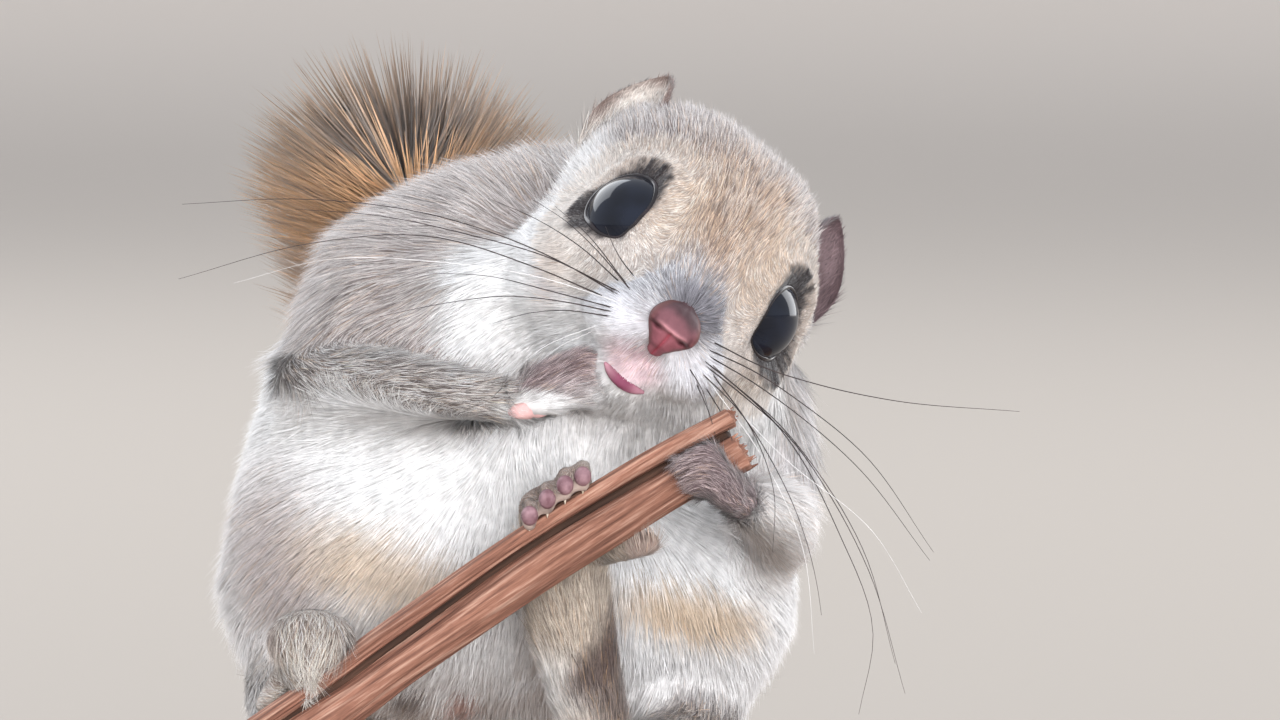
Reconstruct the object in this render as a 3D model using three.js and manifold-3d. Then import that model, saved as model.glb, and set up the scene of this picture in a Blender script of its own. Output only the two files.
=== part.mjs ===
// A life-size flying squirrel, sitting up and gripping a cut length of dead stem, on a display stand.
// Millimetres, +Z up. The animal faces -Y and its right side is towards -X.
// The origin is the middle of the underside of the stand's base.
import * as THREE from "three";
import { mergeVertices } from "three/addons/utils/BufferGeometryUtils.js";
import Module from "manifold-3d";

const wasm = await Module();
wasm.setup();

const v = (x, y, z) => new THREE.Vector3(x, y, z);
const degrees = THREE.MathUtils.degToRad;

// Driving dimensions
const gap = 0.3; // between pieces that touch
const base = { radius: 52, thickness: 8, edge: 1.2 };
const rod = { radius: 1.6, grip: 3 }; // grip is how deep a rod goes into what it carries
const hips = v(-4.5, 4, 30);
const chest = v(-2.5, 0.5, 56);
const headCentre = v(10.85, -12, 64.1);
const headTilt = 38; // the crown leans to the animal's left
const headTurn = 6;
const headNod = -2.7;
const eye = { radius: 4.8, aside: { right: 7.6, left: 7.1 }, ahead: 9.5, up: { right: 2.5, left: 2.7 } };
const whisker = { root: 0.5, tip: 0.12 };
const stem = {
  top: v(18.2, -33.2, 50.2), // middle of the broken upper end
  bottom: v(-36.5, -36.5, 13.9),
  strandRadius: 2.15,
  thinRadius: 1.45,
};
const elbow = { right: v(-25, -12, 55), left: v(21.6, -9, 39.5) };
const wrist = { right: v(-4.6, -28, 53.4), left: v(18, -34.4, 44) };
const knee = { right: v(-27, -3, 29), left: v(15, -4, 20.8) };
const ankle = { right: v(-26.5, -27, 17), left: v(4.5, -26.6, 17.5) };
const tailPath = [
  v(-5, 24, 23),
  v(-7, 35, 25),
  v(-9, 39.5, 38),
  v(-11, 39, 53),
  v(-13.5, 34, 65),
  v(-16, 28.5, 72.5),
];
const tailParts = { root: 0.2, middle: 0.52 }; // shares of the tail's length at which its pieces meet
const seed = 7;

// Repeatable random numbers between 0 and 1
let state = seed;
function random() {
  state = (state * 1664525 + 1013904223) % 4294967296;
  return state / 4294967296;
}
const spread = (amount) => (random() * 2 - 1) * amount;

// Fields: each gives the distance of a point from a form, negative inside it.
function ellipsoid(centre, radii, turn = new THREE.Euler()) {
  const back = new THREE.Quaternion().setFromEuler(turn).invert();
  return (p) => {
    const q = p.clone().sub(centre).applyQuaternion(back);
    const k0 = Math.hypot(q.x / radii.x, q.y / radii.y, q.z / radii.z);
    const k1 = Math.hypot(q.x / radii.x ** 2, q.y / radii.y ** 2, q.z / radii.z ** 2);
    return k1 === 0 ? -Math.min(radii.x, radii.y, radii.z) : (k0 * (k0 - 1)) / k1;
  };
}

function roundCone(start, end, startRadius, endRadius) {
  const along = end.clone().sub(start);
  return (p) => {
    const t = THREE.MathUtils.clamp(p.clone().sub(start).dot(along) / along.lengthSq(), 0, 1);
    const radius = THREE.MathUtils.lerp(startRadius, endRadius, t);
    return p.distanceTo(start.clone().addScaledVector(along, t)) - radius;
  };
}

function blend(softness, ...fields) {
  return (p) =>
    fields
      .map((field) => field(p))
      .reduce((a, b) => {
        const h = Math.max(softness - Math.abs(a - b), 0) / softness;
        return Math.min(a, b) - (h * h * softness) / 4;
      });
}

// How far along a ray from a point the field first reaches a value
function reachOf(field, from, ray, value = 0) {
  let near = 0;
  let far = 60;
  while (far - near > 1e-6) {
    const middle = (near + far) / 2;
    if (field(from.clone().addScaledVector(ray, middle)) < value) near = middle;
    else far = middle;
  }
  return near;
}

// A sphere's vertices are moved out along their own rays until they reach the field's surface.
function wrap(field, centre, { around = 24, along = 16, pole = v(0, 0, 1), crowd = 1, grow = 0 } = {}) {
  const geometry = new THREE.SphereGeometry(1, around, along);
  const upright = new THREE.Quaternion().setFromUnitVectors(v(0, 1, 0), pole.clone().normalize());
  const position = geometry.getAttribute("position");
  for (let i = 0; i < position.count; i++) {
    const ray = new THREE.Vector3().fromBufferAttribute(position, i);
    const polar = Math.PI * (Math.acos(THREE.MathUtils.clamp(ray.y, -1, 1)) / Math.PI) ** crowd;
    const azimuth = Math.atan2(ray.z, ray.x);
    const ring = Math.hypot(ray.x, ray.z) < 1e-6 ? 0 : Math.sin(polar);
    ray.set(ring * Math.cos(azimuth), Math.cos(polar), ring * Math.sin(azimuth)).applyQuaternion(upright);
    ray.multiplyScalar(reachOf(field, centre, ray, grow)).add(centre);
    position.setXYZ(i, ray.x, ray.y, ray.z);
  }
  return geometry;
}

// A tube with round ends along a smooth curve. radii is a list of [across, through] at equal steps of the
// curve, and side is the direction in which "across" is measured.
function limb(points, radii, { sides = 8, steps = 6, caps = 2, side = v(0, 1, 0), grow = 0 } = {}) {
  const curve = new THREE.CatmullRomCurve3(points, false, "centripetal");
  const rings = steps + 2 * caps;
  const geometry = new THREE.SphereGeometry(1, sides, rings);
  const position = geometry.getAttribute("position");
  const sizeAt = (t) => {
    const place = t * (radii.length - 1);
    const i = Math.min(Math.floor(place), radii.length - 2);
    const mix = THREE.MathUtils.smoothstep(place - i, 0, 1) * 0.5 + (place - i) * 0.5;
    return [0, 1].map((k) => THREE.MathUtils.lerp(radii[i][k], radii[i + 1][k], mix) + grow);
  };
  for (let i = 0; i < position.count; i++) {
    const ring = Math.floor(i / (sides + 1));
    const azimuth = ((i % (sides + 1)) / sides) * 2 * Math.PI;
    const inCap = ring < caps ? (caps - ring) / caps : ring > rings - caps ? (ring - rings + caps) / caps : 0;
    const t = THREE.MathUtils.clamp((ring - caps) / steps, 0, 1);
    const [across, through] = sizeAt(t);
    const heading = curve.getTangentAt(t);
    const wide = side.clone().addScaledVector(heading, -side.dot(heading)).normalize();
    const deep = new THREE.Vector3().crossVectors(heading, wide);
    const shrink = Math.cos((inCap * Math.PI) / 2);
    const beyond = Math.sin((inCap * Math.PI) / 2) * Math.min(across, through) * (ring < caps ? -1 : 1);
    const at = curve.getPointAt(t).addScaledVector(heading, beyond);
    at.addScaledVector(wide, Math.cos(azimuth) * across * shrink);
    at.addScaledVector(deep, -Math.sin(azimuth) * through * shrink);
    position.setXYZ(i, at.x, at.y, at.z);
  }
  return geometry;
}

// A flat, tapered lock of hair that leaves its root and bends over
function lock(root, heading, towards, { length, width, thickness }) {
  const middle = root.clone().addScaledVector(heading, length * 0.5);
  const end = middle.clone().addScaledVector(heading.clone().lerp(towards, 0.5).normalize(), length * 0.5);
  const flat = new THREE.Vector3().crossVectors(heading, towards).cross(heading).normalize();
  const sizes = [
    [width * 0.35, thickness * 0.5],
    [width * 0.45, thickness * 0.45],
    [width * 0.05, thickness * 0.1],
  ];
  return limb([root, middle, end], sizes, { sides: 4, steps: 2, caps: 1, side: flat });
}

// Solids
function solidOf(geometry) {
  const bare = geometry.clone();
  bare.deleteAttribute("normal");
  bare.deleteAttribute("uv");
  const merged = mergeVertices(bare, 1e-4);
  const kept = [];
  for (let i = 0; i < merged.index.count; i += 3) {
    const [a, b, c] = [0, 1, 2].map((k) => merged.index.getX(i + k));
    if (a !== b && b !== c && c !== a) kept.push(a, b, c);
  }
  const vertProperties = merged.attributes.position.array;
  const made = (corners) =>
    new wasm.Manifold(new wasm.Mesh({ numProp: 3, vertProperties, triVerts: new Uint32Array(corners) }));
  const solid = made(kept);
  if (solid.volume() >= 0) return solid;
  return made(kept.map((_, i) => kept[i - (i % 3) + [0, 2, 1][i % 3]]));
}

const join = (shapes) => shapes.map(solidOf).reduce((a, b) => a.add(b));
const largest = (solid) => solid.decompose().sort((a, b) => b.volume() - a.volume())[0];

function geometryOf(solid) {
  const mesh = solid.getMesh();
  const positions = new Float32Array(mesh.numVert * 3);
  for (let i = 0; i < mesh.numVert; i++) {
    positions.set(mesh.vertProperties.subarray(i * mesh.numProp, i * mesh.numProp + 3), i * 3);
  }
  const geometry = new THREE.BufferGeometry();
  geometry.setAttribute("position", new THREE.BufferAttribute(positions, 3));
  geometry.setIndex(new THREE.BufferAttribute(mesh.triVerts, 1));
  geometry.computeVertexNormals();
  return geometry;
}

// Frames: the head's parts are shaped upright and facing -Y, then the whole head is tilted and turned.
const headGroup = new THREE.Group();
headGroup.position.copy(headCentre);
headGroup.rotation.set(degrees(headNod), degrees(headTilt), degrees(headTurn), "YZX");
headGroup.updateMatrixWorld(true);
const fromHead = (x, y, z) => v(x, y, z).applyMatrix4(headGroup.matrixWorld);
const outOfHead = (shapes) => shapes.map((shape) => shape.applyMatrix4(headGroup.matrixWorld));

// Torso: a hunched, pear-shaped body
const torsoField = blend(
  7,
  ellipsoid(v(hips.x, 6, 31), v(20.5, 20, 14.5)),
  ellipsoid(v(-4.5, 0.5, 39), v(26, 24.5, 20)),
  ellipsoid(chest, v(26.5, 21.5, 18)),
  ellipsoid(v(-12, 4, 65), v(13.5, 14, 9.5)),
  ellipsoid(v(2, 6, 68.6), v(15.5, 12.5, 10.6)),
);
const torso = (grow = 0) => [wrap(torsoField, v(-2, 3, 46), { around: 19, along: 13, grow })];

// Neck: fills the throat and the bulge of the cheek's ruff on the animal's right
const neckField = blend(
  5,
  ellipsoid(v(3.5, -5.5, 59.5), v(16.5, 15.5, 12)),
  ellipsoid(v(-8, -13, 62), v(8.5, 8, 8)),
  ellipsoid(v(13, -9, 55), v(12.5, 14.5, 9.5)),
);
const neck = (grow = 0) => [wrap(neckField, v(3, -6, 60), { around: 15, along: 10, grow })];

// Head, in its own upright frame
const mirror = (x, y, z) => [v(x, y, z), v(-x, y, z)];
const headField = blend(
  4,
  ellipsoid(v(0, 1.5, 2), v(14.4, 15.5, 14.6)),
  ellipsoid(v(-6.6, 2.5, 7.9), v(8, 9.5, 8.2)),
  ellipsoid(v(5.6, 2.5, 7.2), v(7.6, 9.5, 7.8)),
  ...mirror(8, -4, -4.6).map((c) => ellipsoid(c, v(7.8, 10, 7.8))),
  ellipsoid(v(0, -8, 0), v(9, 10.5, 10)),
  roundCone(v(0, -8, 0.8), v(0, -16.8, -2.4), 8.8, 5.4),
  ...mirror(7.4, -8.4, 7.6).map((c) => ellipsoid(c, v(3.6, 4, 2.6))),
);
const eyeCentre = (left) =>
  left ? v(eye.aside.left, -eye.ahead, eye.up.left) : v(-eye.aside.right, -eye.ahead, eye.up.right);
const eyeAxis = (left) => v(0.74 * (left ? 1 : -1), -0.64, 0.22).normalize();

// A lid is a rim around the eye, pinched to a corner at its front and back
const lidRadius = 0.85;
function lids(left, grow = 0) {
  const out = eyeAxis(left);
  const forwards = v(0, -1, -0.42).addScaledVector(out, -v(0, -1, -0.42).dot(out)).normalize();
  const upwards = new THREE.Vector3().crossVectors(forwards, out).multiplyScalar(left ? -1 : 1);
  const loop = [];
  for (let i = 0; i < 14; i++) {
    const angle = (i / 14) * 2 * Math.PI;
    const corner = Math.abs(Math.cos(angle)) ** 6 * 0.5;
    const point = eyeCentre(left).addScaledVector(out, eye.radius * 0.6 - corner * 1.4);
    point.addScaledVector(forwards, Math.cos(angle) * (eye.radius * 0.9 + corner));
    point.addScaledVector(upwards, Math.sin(angle) * eye.radius * 0.87);
    loop.push(point);
  }
  const path = new THREE.CatmullRomCurve3(loop, true);
  const section = new THREE.Shape().absarc(0, 0, lidRadius + grow, 0, 2 * Math.PI);
  const sweep = { steps: 13, curveSegments: 3, bevelEnabled: false, extrudePath: path };
  return new THREE.ExtrudeGeometry(section, sweep);
}

// The mouth: a curved opening under the muzzle, from corner to corner
const mouthCorner = { aside: 4.3, back: -13.6, up: -7.4 };
const mouthFront = v(0, -19.9, -8.6);
const mouthPath = [
  v(-mouthCorner.aside, mouthCorner.back, mouthCorner.up),
  v(-2.6, -18.2, -8.5),
  mouthFront,
  v(2.6, -18.2, -8.5),
  v(mouthCorner.aside, mouthCorner.back, mouthCorner.up),
];
const lipPath = (drop, out) => mouthPath.map((p) => v(p.x, p.y + out, p.z - drop));
const tube = (points, radius, grow = 0) =>
  limb(points, [[radius * 0.6, radius * 0.6], [radius, radius], [radius * 0.6, radius * 0.6]], {
    sides: 5,
    steps: 7,
    caps: 1,
    side: v(0, 0, 1),
    grow,
  });

// Whiskers: each starts on the pad beside the nose and sweeps out and back.
const whiskerRows = {
  right: [
    { up: -3.9, lift: -0.34, count: 2, length: 36 },
    { up: -5.3, lift: -0.6, count: 3, length: 37 },
    { up: -6.7, lift: -0.85, count: 2, length: 29 },
  ],
  left: [
    { up: -3.9, lift: 0.42, count: 2, length: 29 },
    { up: -5.3, lift: 0.12, count: 3, length: 33 },
    { up: -6.7, lift: -0.16, count: 2, length: 35 },
  ],
};
function whiskers(left, grow = 0) {
  const sign = left ? 1 : -1;
  const hairs = [];
  for (const { up, lift, count, length } of whiskerRows[left ? "left" : "right"]) {
    for (let i = 0; i < count; i++) {
      const root = v(sign * (6.9 + i * 0.25), -17.6 + i * 1.7, up);
      const heading = v(sign, -0.3 + 0.26 * i, lift + 0.1 * i + 0.12).normalize();
      const sag = v(0, 0.5, left ? -0.3 : -0.12).multiplyScalar(length * 0.32);
      const points = [0, 0.35, 0.7, 1].map((t) =>
        root.clone().addScaledVector(heading, (length - 2 * i) * t).addScaledVector(sag, t * t),
      );
      points.unshift(root.clone().addScaledVector(heading, -2));
      const thick = whisker.root / 2;
      const thin = whisker.tip / 2;
      const sizes = [[thick, thick], [thick, thick], [thin, thin]];
      hairs.push(limb(points, sizes, { sides: 3, steps: 4, caps: 1, side: v(0, 0, 1), grow }));
    }
  }
  return hairs;
}

function headForm(grow = 0) {
  const facing = { around: 20, along: 18, pole: v(0, -1, -0.2), crowd: 1.25 };
  return wrap(headField, v(0, -1, 0.5), { ...facing, grow });
}
const skull = (grow = 0) => outOfHead([headForm(grow)]);
const head = (grow = 0) =>
  outOfHead([headForm(grow), lids(true, grow), lids(false, grow), tube(lipPath(-0.35, 0.45), 0.6, grow)]);
const muzzlePad = (left, grow = 0) => {
  const centre = v(left ? 4 : -3.9, -16.2, -5.1);
  return wrap(ellipsoid(centre, v(4.4, 5, 4)), centre, { around: 14, along: 8, pole: v(0, -1, 0), grow });
};
const pads = (grow = 0) => outOfHead([muzzlePad(false, grow), muzzlePad(true, grow)]);
const muzzle = (left, grow = 0) => outOfHead([muzzlePad(left, grow), ...whiskers(left, grow)]);

// Lower jaw and chin
const jawField = blend(
  3,
  ellipsoid(v(0, -15, -10), v(3.3, 4.4, 2.3)),
  ellipsoid(v(0, -9.5, -10.6), v(5.6, 6, 3.4)),
);
function jaw(grow = 0) {
  const chin = wrap(jawField, v(0, -12.5, -10.3), { around: 11, along: 7, pole: v(0, -1, 0), grow });
  return outOfHead([chin, tube(lipPath(0.75, 1), 0.7, grow)]);
}

// Nose pad with its two wings
const noseAside = 0.3;
const noseField = blend(
  1.4,
  ellipsoid(v(noseAside, -21.6, -2.9), v(2.4, 2, 2)),
  ...mirror(1.15, -22, -3.7).map((c) => ellipsoid(c.setX(c.x + noseAside), v(1.25, 1.3, 1.15))),
);
const nose = (grow = 0) =>
  outOfHead([wrap(noseField, v(noseAside, -21.7, -3.1), { around: 12, along: 8, pole: v(0, -1, 0), grow })]);
const nostrils = () =>
  outOfHead(
    [-1, 1].map((side) => {
      const centre = v(noseAside + side * 1.35, -23.2, -3.9);
      const slot = ellipsoid(centre, v(0.85, 0.9, 0.42), new THREE.Euler(0, side * 0.5, 0));
      return wrap(slot, centre, { around: 6, along: 5 });
    }),
  );

// Eyeballs
function eyeball(left, grow = 0) {
  const centre = eyeCentre(left);
  const ball = new THREE.SphereGeometry(eye.radius + grow, 12, 8);
  ball.applyQuaternion(new THREE.Quaternion().setFromUnitVectors(v(0, 1, 0), eyeAxis(left)));
  return outOfHead([ball.translate(centre.x, centre.y, centre.z)]);
}

// Ears: a leaf-shaped shell that stands on the side of the head and opens outwards, hollowed to a cup
const ear = {
  root: { right: v(-12.9, 4.2, 10.2), left: v(10.9, 4.6, 9.5) },
  yaw: { right: -58, left: 50 },
  lean: 16,
  width: 8.6,
  thickness: 4,
  length: 14.4,
};
function leaf(left, width, thickness, length, inset = v(0, 0, 0)) {
  const geometry = new THREE.SphereGeometry(1, 14, 11).rotateX(Math.PI / 2);
  const position = geometry.getAttribute("position");
  for (let i = 0; i < position.count; i++) {
    const p = new THREE.Vector3().fromBufferAttribute(position, i);
    const taper = 1 - 0.5 * Math.max(0, p.z) ** 1.6;
    const bend = 1.1 * p.z ** 2 - 0.9 * p.x ** 2;
    position.setXYZ(i, (p.x * width * taper) / 2, (p.y * thickness) / 2 + bend, (p.z * length) / 2);
  }
  const side = left ? "left" : "right";
  geometry.translate(inset.x, inset.y, inset.z);
  geometry.rotateZ(degrees(ear.yaw[side])).rotateX(degrees(-ear.lean));
  return geometry.translate(ear.root[side].x, ear.root[side].y, ear.root[side].z);
}
const earShell = (left, grow = 0) =>
  outOfHead([leaf(left, ear.width + 2 * grow, ear.thickness + 2 * grow, ear.length + 2 * grow)]);
const earCup = (left) =>
  outOfHead([leaf(left, ear.width - 1.6, ear.thickness, ear.length - 2.4, v(0, -1.3, 0.3))]);

// Arms
const armWidths = { upper: [[8.6, 8.6], [7, 7.2], [4.7, 4.7]], fore: [[4.8, 4.6], [4.3, 3.9], [3, 2.7]] };
const upperArm = {
  right: (grow = 0) => [limb([v(-12, -3, 63), v(-18.5, -7, 60), elbow.right], armWidths.upper, { grow })],
  left: (grow = 0) => [limb([v(17, -2, 54), v(20, -5, 47), elbow.left], armWidths.upper, { grow })],
};
const forearmAlong = (points, grow) => [limb(points, armWidths.fore, { side: v(0, 0, 1), grow })];
const forearm = {
  right: (grow = 0) => forearmAlong([elbow.right, v(-16, -21.8, 54.6), wrist.right], grow),
  left: (grow = 0) => forearmAlong([elbow.left, v(21.4, -24, 42), wrist.left], grow),
};

// Paws. A digit bends by the same hinge at each of its three joints and ends in a claw.
function digit(start, heading, hinge, { length, bends, radius = 1.15, claw = 1, grow = 0 }) {
  const points = [start.clone().addScaledVector(heading, -1.6), start.clone()];
  const direction = heading.clone().normalize();
  bends.forEach((bend, i) => {
    direction.applyAxisAngle(hinge, degrees(bend));
    points.push(points.at(-1).clone().addScaledVector(direction, length * [0.42, 0.32, 0.26][i]));
  });
  const tip = points.at(-1);
  const sizes = [1, 1, 0.82, 0.85].map((share) => [radius * share, radius * share]);
  const finger = limb(points, sizes, { sides: 6, steps: 4, caps: 1, side: hinge, grow });
  const curl = direction.clone().applyAxisAngle(hinge, degrees(55));
  const bend = tip.clone().addScaledVector(direction, 1.5 * claw);
  const point = bend.clone().addScaledVector(direction, 0.4 * claw).addScaledVector(curl, 1.1 * claw);
  const nail = limb([tip, bend, point], [[0.42, 0.5], [0.34, 0.42], [0.1, 0.12]], {
    sides: 3,
    steps: 2,
    caps: 1,
    side: hinge,
    grow,
  });
  return [finger, nail];
}

// Right hand: a loose fist held under the chin, its back to the viewer
const palmWidths = [[2.8, 2.2], [3.4, 2.1], [3.3, 1.9]];
const fist = { across: v(0.25, 0.55, 0.8).normalize(), ahead: v(0.86, -0.2, 0.35).normalize() };
const rightHand = (grow = 0) => {
  const palmEnd = wrist.right.clone().addScaledVector(fist.ahead, 6.4);
  const palmStart = wrist.right.clone().addScaledVector(fist.ahead, 1.4);
  const palm = limb([palmStart, palmEnd], palmWidths, { sides: 8, steps: 3, side: fist.across, grow });
  const fingers = [-2.5, -0.85, 0.85, 2.4].flatMap((place, i) =>
    digit(palmEnd.clone().addScaledVector(fist.across, place), fist.ahead, fist.across, {
      length: [6.2, 7.4, 7.2, 6][i],
      bends: [62, 62, 42],
      grow,
    }),
  );
  return [palm, ...fingers];
};

// The stem's own direction, and the directions square to it
const stemAlong = stem.top.clone().sub(stem.bottom).normalize();
const stemFront = v(0, -1, 0).addScaledVector(stemAlong, stemAlong.y).normalize();
const stemUp = new THREE.Vector3().crossVectors(stemAlong, stemFront).negate();
const stemTopUp = 3.1; // from the stem's middle line to its upper edge
const onStem = (x, front, up) => {
  const t = (x - stem.bottom.x) / (stem.top.x - stem.bottom.x);
  return stem.bottom.clone().lerp(stem.top, t).addScaledVector(stemFront, front).addScaledVector(stemUp, up);
};

// Left hand: reaches round the front of the stem near its upper end
const leftHand = (grow = 0) => {
  const knuckles = onStem(13.4, 4.3, -0.5);
  const ahead = knuckles.clone().sub(wrist.left).normalize();
  const across = stemUp.clone().negate();
  const palmStart = wrist.left.clone().addScaledVector(ahead, 1.2);
  const palm = limb([palmStart, knuckles], palmWidths, { sides: 8, steps: 3, side: across, grow });
  const fingers = [-1.7, -0.4, 0.9, 2.2].flatMap((place, i) =>
    digit(knuckles.clone().addScaledVector(across, place), ahead, across, {
      length: [4, 4.8, 4.8, 4][i],
      bends: [45, 55, 45],
      radius: 1.05,
      claw: 0.7,
      grow,
    }),
  );
  return [palm, ...fingers];
};

// Legs
const thighField = {
  right: blend(4, ellipsoid(v(-19, 4, 30), v(12, 15, 12)), roundCone(v(-19, 4, 30), knee.right, 9, 5)),
  left: blend(4, ellipsoid(v(9, 4, 29), v(12, 15, 11.5)), roundCone(v(9, 4, 28), knee.left, 9, 4.4)),
};
const thigh = {
  right: (grow = 0) => [wrap(thighField.right, v(-20, 3, 30), { around: 12, along: 8, grow })],
  left: (grow = 0) => [wrap(thighField.left, v(9.5, 3, 28), { around: 12, along: 8, grow })],
};
const shinWidths = [[4.8, 4.8], [4.5, 4.2], [3.2, 3]];
const shin = {
  right: (grow = 0) => [limb([knee.right, v(-28.5, -15, 23), ankle.right], shinWidths, { grow })],
  left: (grow = 0) => [limb([knee.left, v(10, -17, 18.6), ankle.left], shinWidths, { grow })],
};

// Hind feet: the sole lies against the back of the stem, and the toes come over its top and end on its front
// edge. at is where along X the foot holds the stem, and closing is how much the toes draw together.
const hindToes = {
  right: {
    at: -24.4,
    rise: 2.3,
    places: [-4.4, -2, 0, 2, 4.2],
    heights: [-0.4, 0.8, 0, -0.8, -3],
    lengths: [8.4, 10, 10, 9.6, 7.4],
    bends: [30, 85, 55],
    closing: 0.1,
  },
  left: {
    at: 0,
    rise: 2.5,
    places: [-3, -1, 1, 3],
    heights: [-0.4, 0.1, 0.3, 0],
    lengths: [6.3, 6.7, 6.7, 6.2],
    bends: [50, 50, 40],
    closing: 0,
  },
};
const soleWidths = [[3.4, 2.9], [4.8, 2.7], [4.3, 2.1]];
function foot(heel, plan, grow = 0) {
  const over = onStem(plan.at - stemUp.x * stemTopUp, -3.4, stemTopUp).add(v(0, 0, plan.rise));
  const arch = heel.clone().lerp(over, 0.5).add(v(0.8, 1.2, 0));
  const sole = limb([heel, arch, over], soleWidths, { sides: 8, steps: 5, side: stemAlong, grow });
  const toes = plan.places.flatMap((place, i) => {
    const start = over.clone().addScaledVector(stemAlong, place).add(v(0, 0, plan.heights[i]));
    const heading = v(-place * plan.closing, 0, 1).normalize();
    const shape = { length: plan.lengths[i], bends: plan.bends, radius: 1.35, claw: 0.6, grow };
    return digit(start, heading, v(1, 0, 0), shape);
  });
  return [sole, ...toes];
}
// The left foot's outer toe grips the stem from below.
const outerToe = (grow = 0) =>
  digit(v(4.4, -30.4, 38.6), v(0.7, -0.7, 0.12).normalize(), stemUp, {
    length: 5.6,
    bends: [0, 12, 20],
    radius: 1.5,
    claw: 0.5,
    grow,
  });
const hindFoot = {
  right: (grow = 0) => foot(ankle.right, hindToes.right, grow),
  left: (grow = 0) => [...foot(ankle.left, hindToes.left, grow), ...outerToe(grow)],
};

// Gliding membranes: folded skin that hugs the flank and belly from the forearm down to the shin.
// Each is a thin pad on the body, between two angles round it and two heights, with its corners rounded.
const bodyField = blend(6, torsoField, thighField.right, thighField.left);
const roundness = 4; // 2 would make the pad an ellipse, and more makes it squarer
function membrane({ from, to, low, high, thickness, grow = 0 }) {
  const geometry = new THREE.SphereGeometry(1, 20, 10);
  const position = geometry.getAttribute("position");
  for (let i = 0; i < position.count; i++) {
    const p = new THREE.Vector3().fromBufferAttribute(position, i);
    const heading = Math.atan2(p.y, p.x);
    const across = Math.abs(Math.cos(heading)) ** roundness + Math.abs(Math.sin(heading)) ** roundness;
    const outwards = Math.acos(Math.min(1, Math.abs(p.z))) / Math.PI / across ** (1 / roundness);
    const angle = degrees(THREE.MathUtils.lerp(from, to, 0.5 + outwards * Math.cos(heading)));
    const height = THREE.MathUtils.lerp(low, high(angle), 0.5 + outwards * Math.sin(heading));
    const ray = v(Math.sin(angle), -Math.cos(angle), 0);
    const axis = v(-3, 2, height);
    const offset = 2 * gap - grow + (p.z > 0 ? (thickness + 2 * grow) * p.z ** 1.4 : 0);
    const at = axis.addScaledVector(ray, reachOf(bodyField, axis, ray, offset));
    position.setXYZ(i, at.x, at.y, at.z);
  }
  return [geometry];
}
const membranes = {
  right: (grow = 0) =>
    membrane({ from: -126, to: 2, low: 20, high: (a) => 54 - 5 * Math.sin(a) ** 3, thickness: 3.8, grow }),
  left: (grow = 0) =>
    membrane({ from: 4, to: 116, low: 21, high: (a) => 49 - 5 * Math.sin(a), thickness: 3.4, grow }),
};

// Tail: carried up behind the back, with long hair combed to both sides
const tailCurve = new THREE.CatmullRomCurve3(tailPath, false, "centripetal");
const tailBend = (from, to) =>
  [0, 1, 2, 3, 4, 5].map((i) => tailCurve.getPointAt(THREE.MathUtils.lerp(from, to, i / 5)));
const acrossTail = v(1, 0.1, 0.12).normalize();
const tailRoot = (grow = 0) => {
  const sizes = [[4.4, 4], [5, 3.6], [5.6, 3.4]];
  return [limb(tailBend(0, tailParts.root), sizes, { sides: 10, steps: 5, caps: 1, side: acrossTail, grow })];
};
const tailCore = (grow = 0) => {
  const sizes = [[5.8, 3.4], [7.2, 3.4], [6.8, 3.1], [3.4, 2.2]];
  return [limb(tailBend(tailParts.root, 1), sizes, { sides: 12, steps: 10, side: acrossTail, grow })];
};
function tailLock(share, sideways, backwards, length, width) {
  const along = tailCurve.getTangentAt(share);
  const outwards = new THREE.Vector3().crossVectors(along, acrossTail).normalize().multiplyScalar(backwards);
  const root = tailCurve.getPointAt(share).addScaledVector(acrossTail, sideways * 2.6);
  root.addScaledVector(outwards, 1.2);
  const leave = acrossTail.clone().multiplyScalar(sideways).addScaledVector(along, 0.75);
  leave.addScaledVector(outwards, 0.5).normalize();
  return lock(root, leave, along, { length, width, thickness: 1.5 });
}
function tailLocks() {
  const locks = [];
  const rows = [
    { from: 0.23, to: tailParts.middle - 0.02, count: 5, shortest: 12 },
    { from: tailParts.middle + 0.07, to: 0.96, count: 7, shortest: 15.5 },
  ];
  for (const sideways of [-1, 1]) {
    for (const { from, to, count, shortest } of rows) {
      for (let i = 0; i < count; i++) {
        const share = THREE.MathUtils.lerp(from, to, i / (count - 1));
        const length = Math.min(15.5, shortest + i) + spread(1);
        locks.push(tailLock(share, sideways, i % 2 ? 0.4 : -0.4, length, 6));
      }
    }
    for (const share of [0.3, 0.44, 0.62, 0.76, 0.88]) {
      locks.push(tailLock(share, sideways * 0.5, 1.1, 13 + spread(1), 5.6));
    }
  }
  const fan = { front: { most: 0.95, count: 8, length: 14.5 }, back: { most: 1.25, count: 7, length: 12.5 } };
  for (const [side, { most, count, length }] of Object.entries(fan)) {
    for (let i = 0; i < count; i++) {
      const sideways = THREE.MathUtils.lerp(-most, most, i / (count - 1));
      locks.push(tailLock(0.985, sideways, side === "front" ? -0.5 : 0.6, length + spread(1.3), 4.8));
    }
  }
  return locks;
}
const tailBrush = [...tailCore(), ...tailLocks()];
// The brush is parted along the lie of its hair by a cone that opens towards the tip.
function pastMiddle(grow = 0) {
  const halfAngle = degrees(45);
  const height = 50;
  const cone = new THREE.ConeGeometry(height * Math.tan(halfAngle), height, 16).translate(0, -height / 2, 0);
  const along = tailCurve.getTangentAt(tailParts.middle);
  const apex = tailCurve.getPointAt(tailParts.middle).addScaledVector(along, -grow / Math.sin(halfAngle));
  cone.applyQuaternion(new THREE.Quaternion().setFromUnitVectors(v(0, -1, 0), along));
  return [cone.translate(apex.x, apex.y, apex.z)];
}

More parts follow.
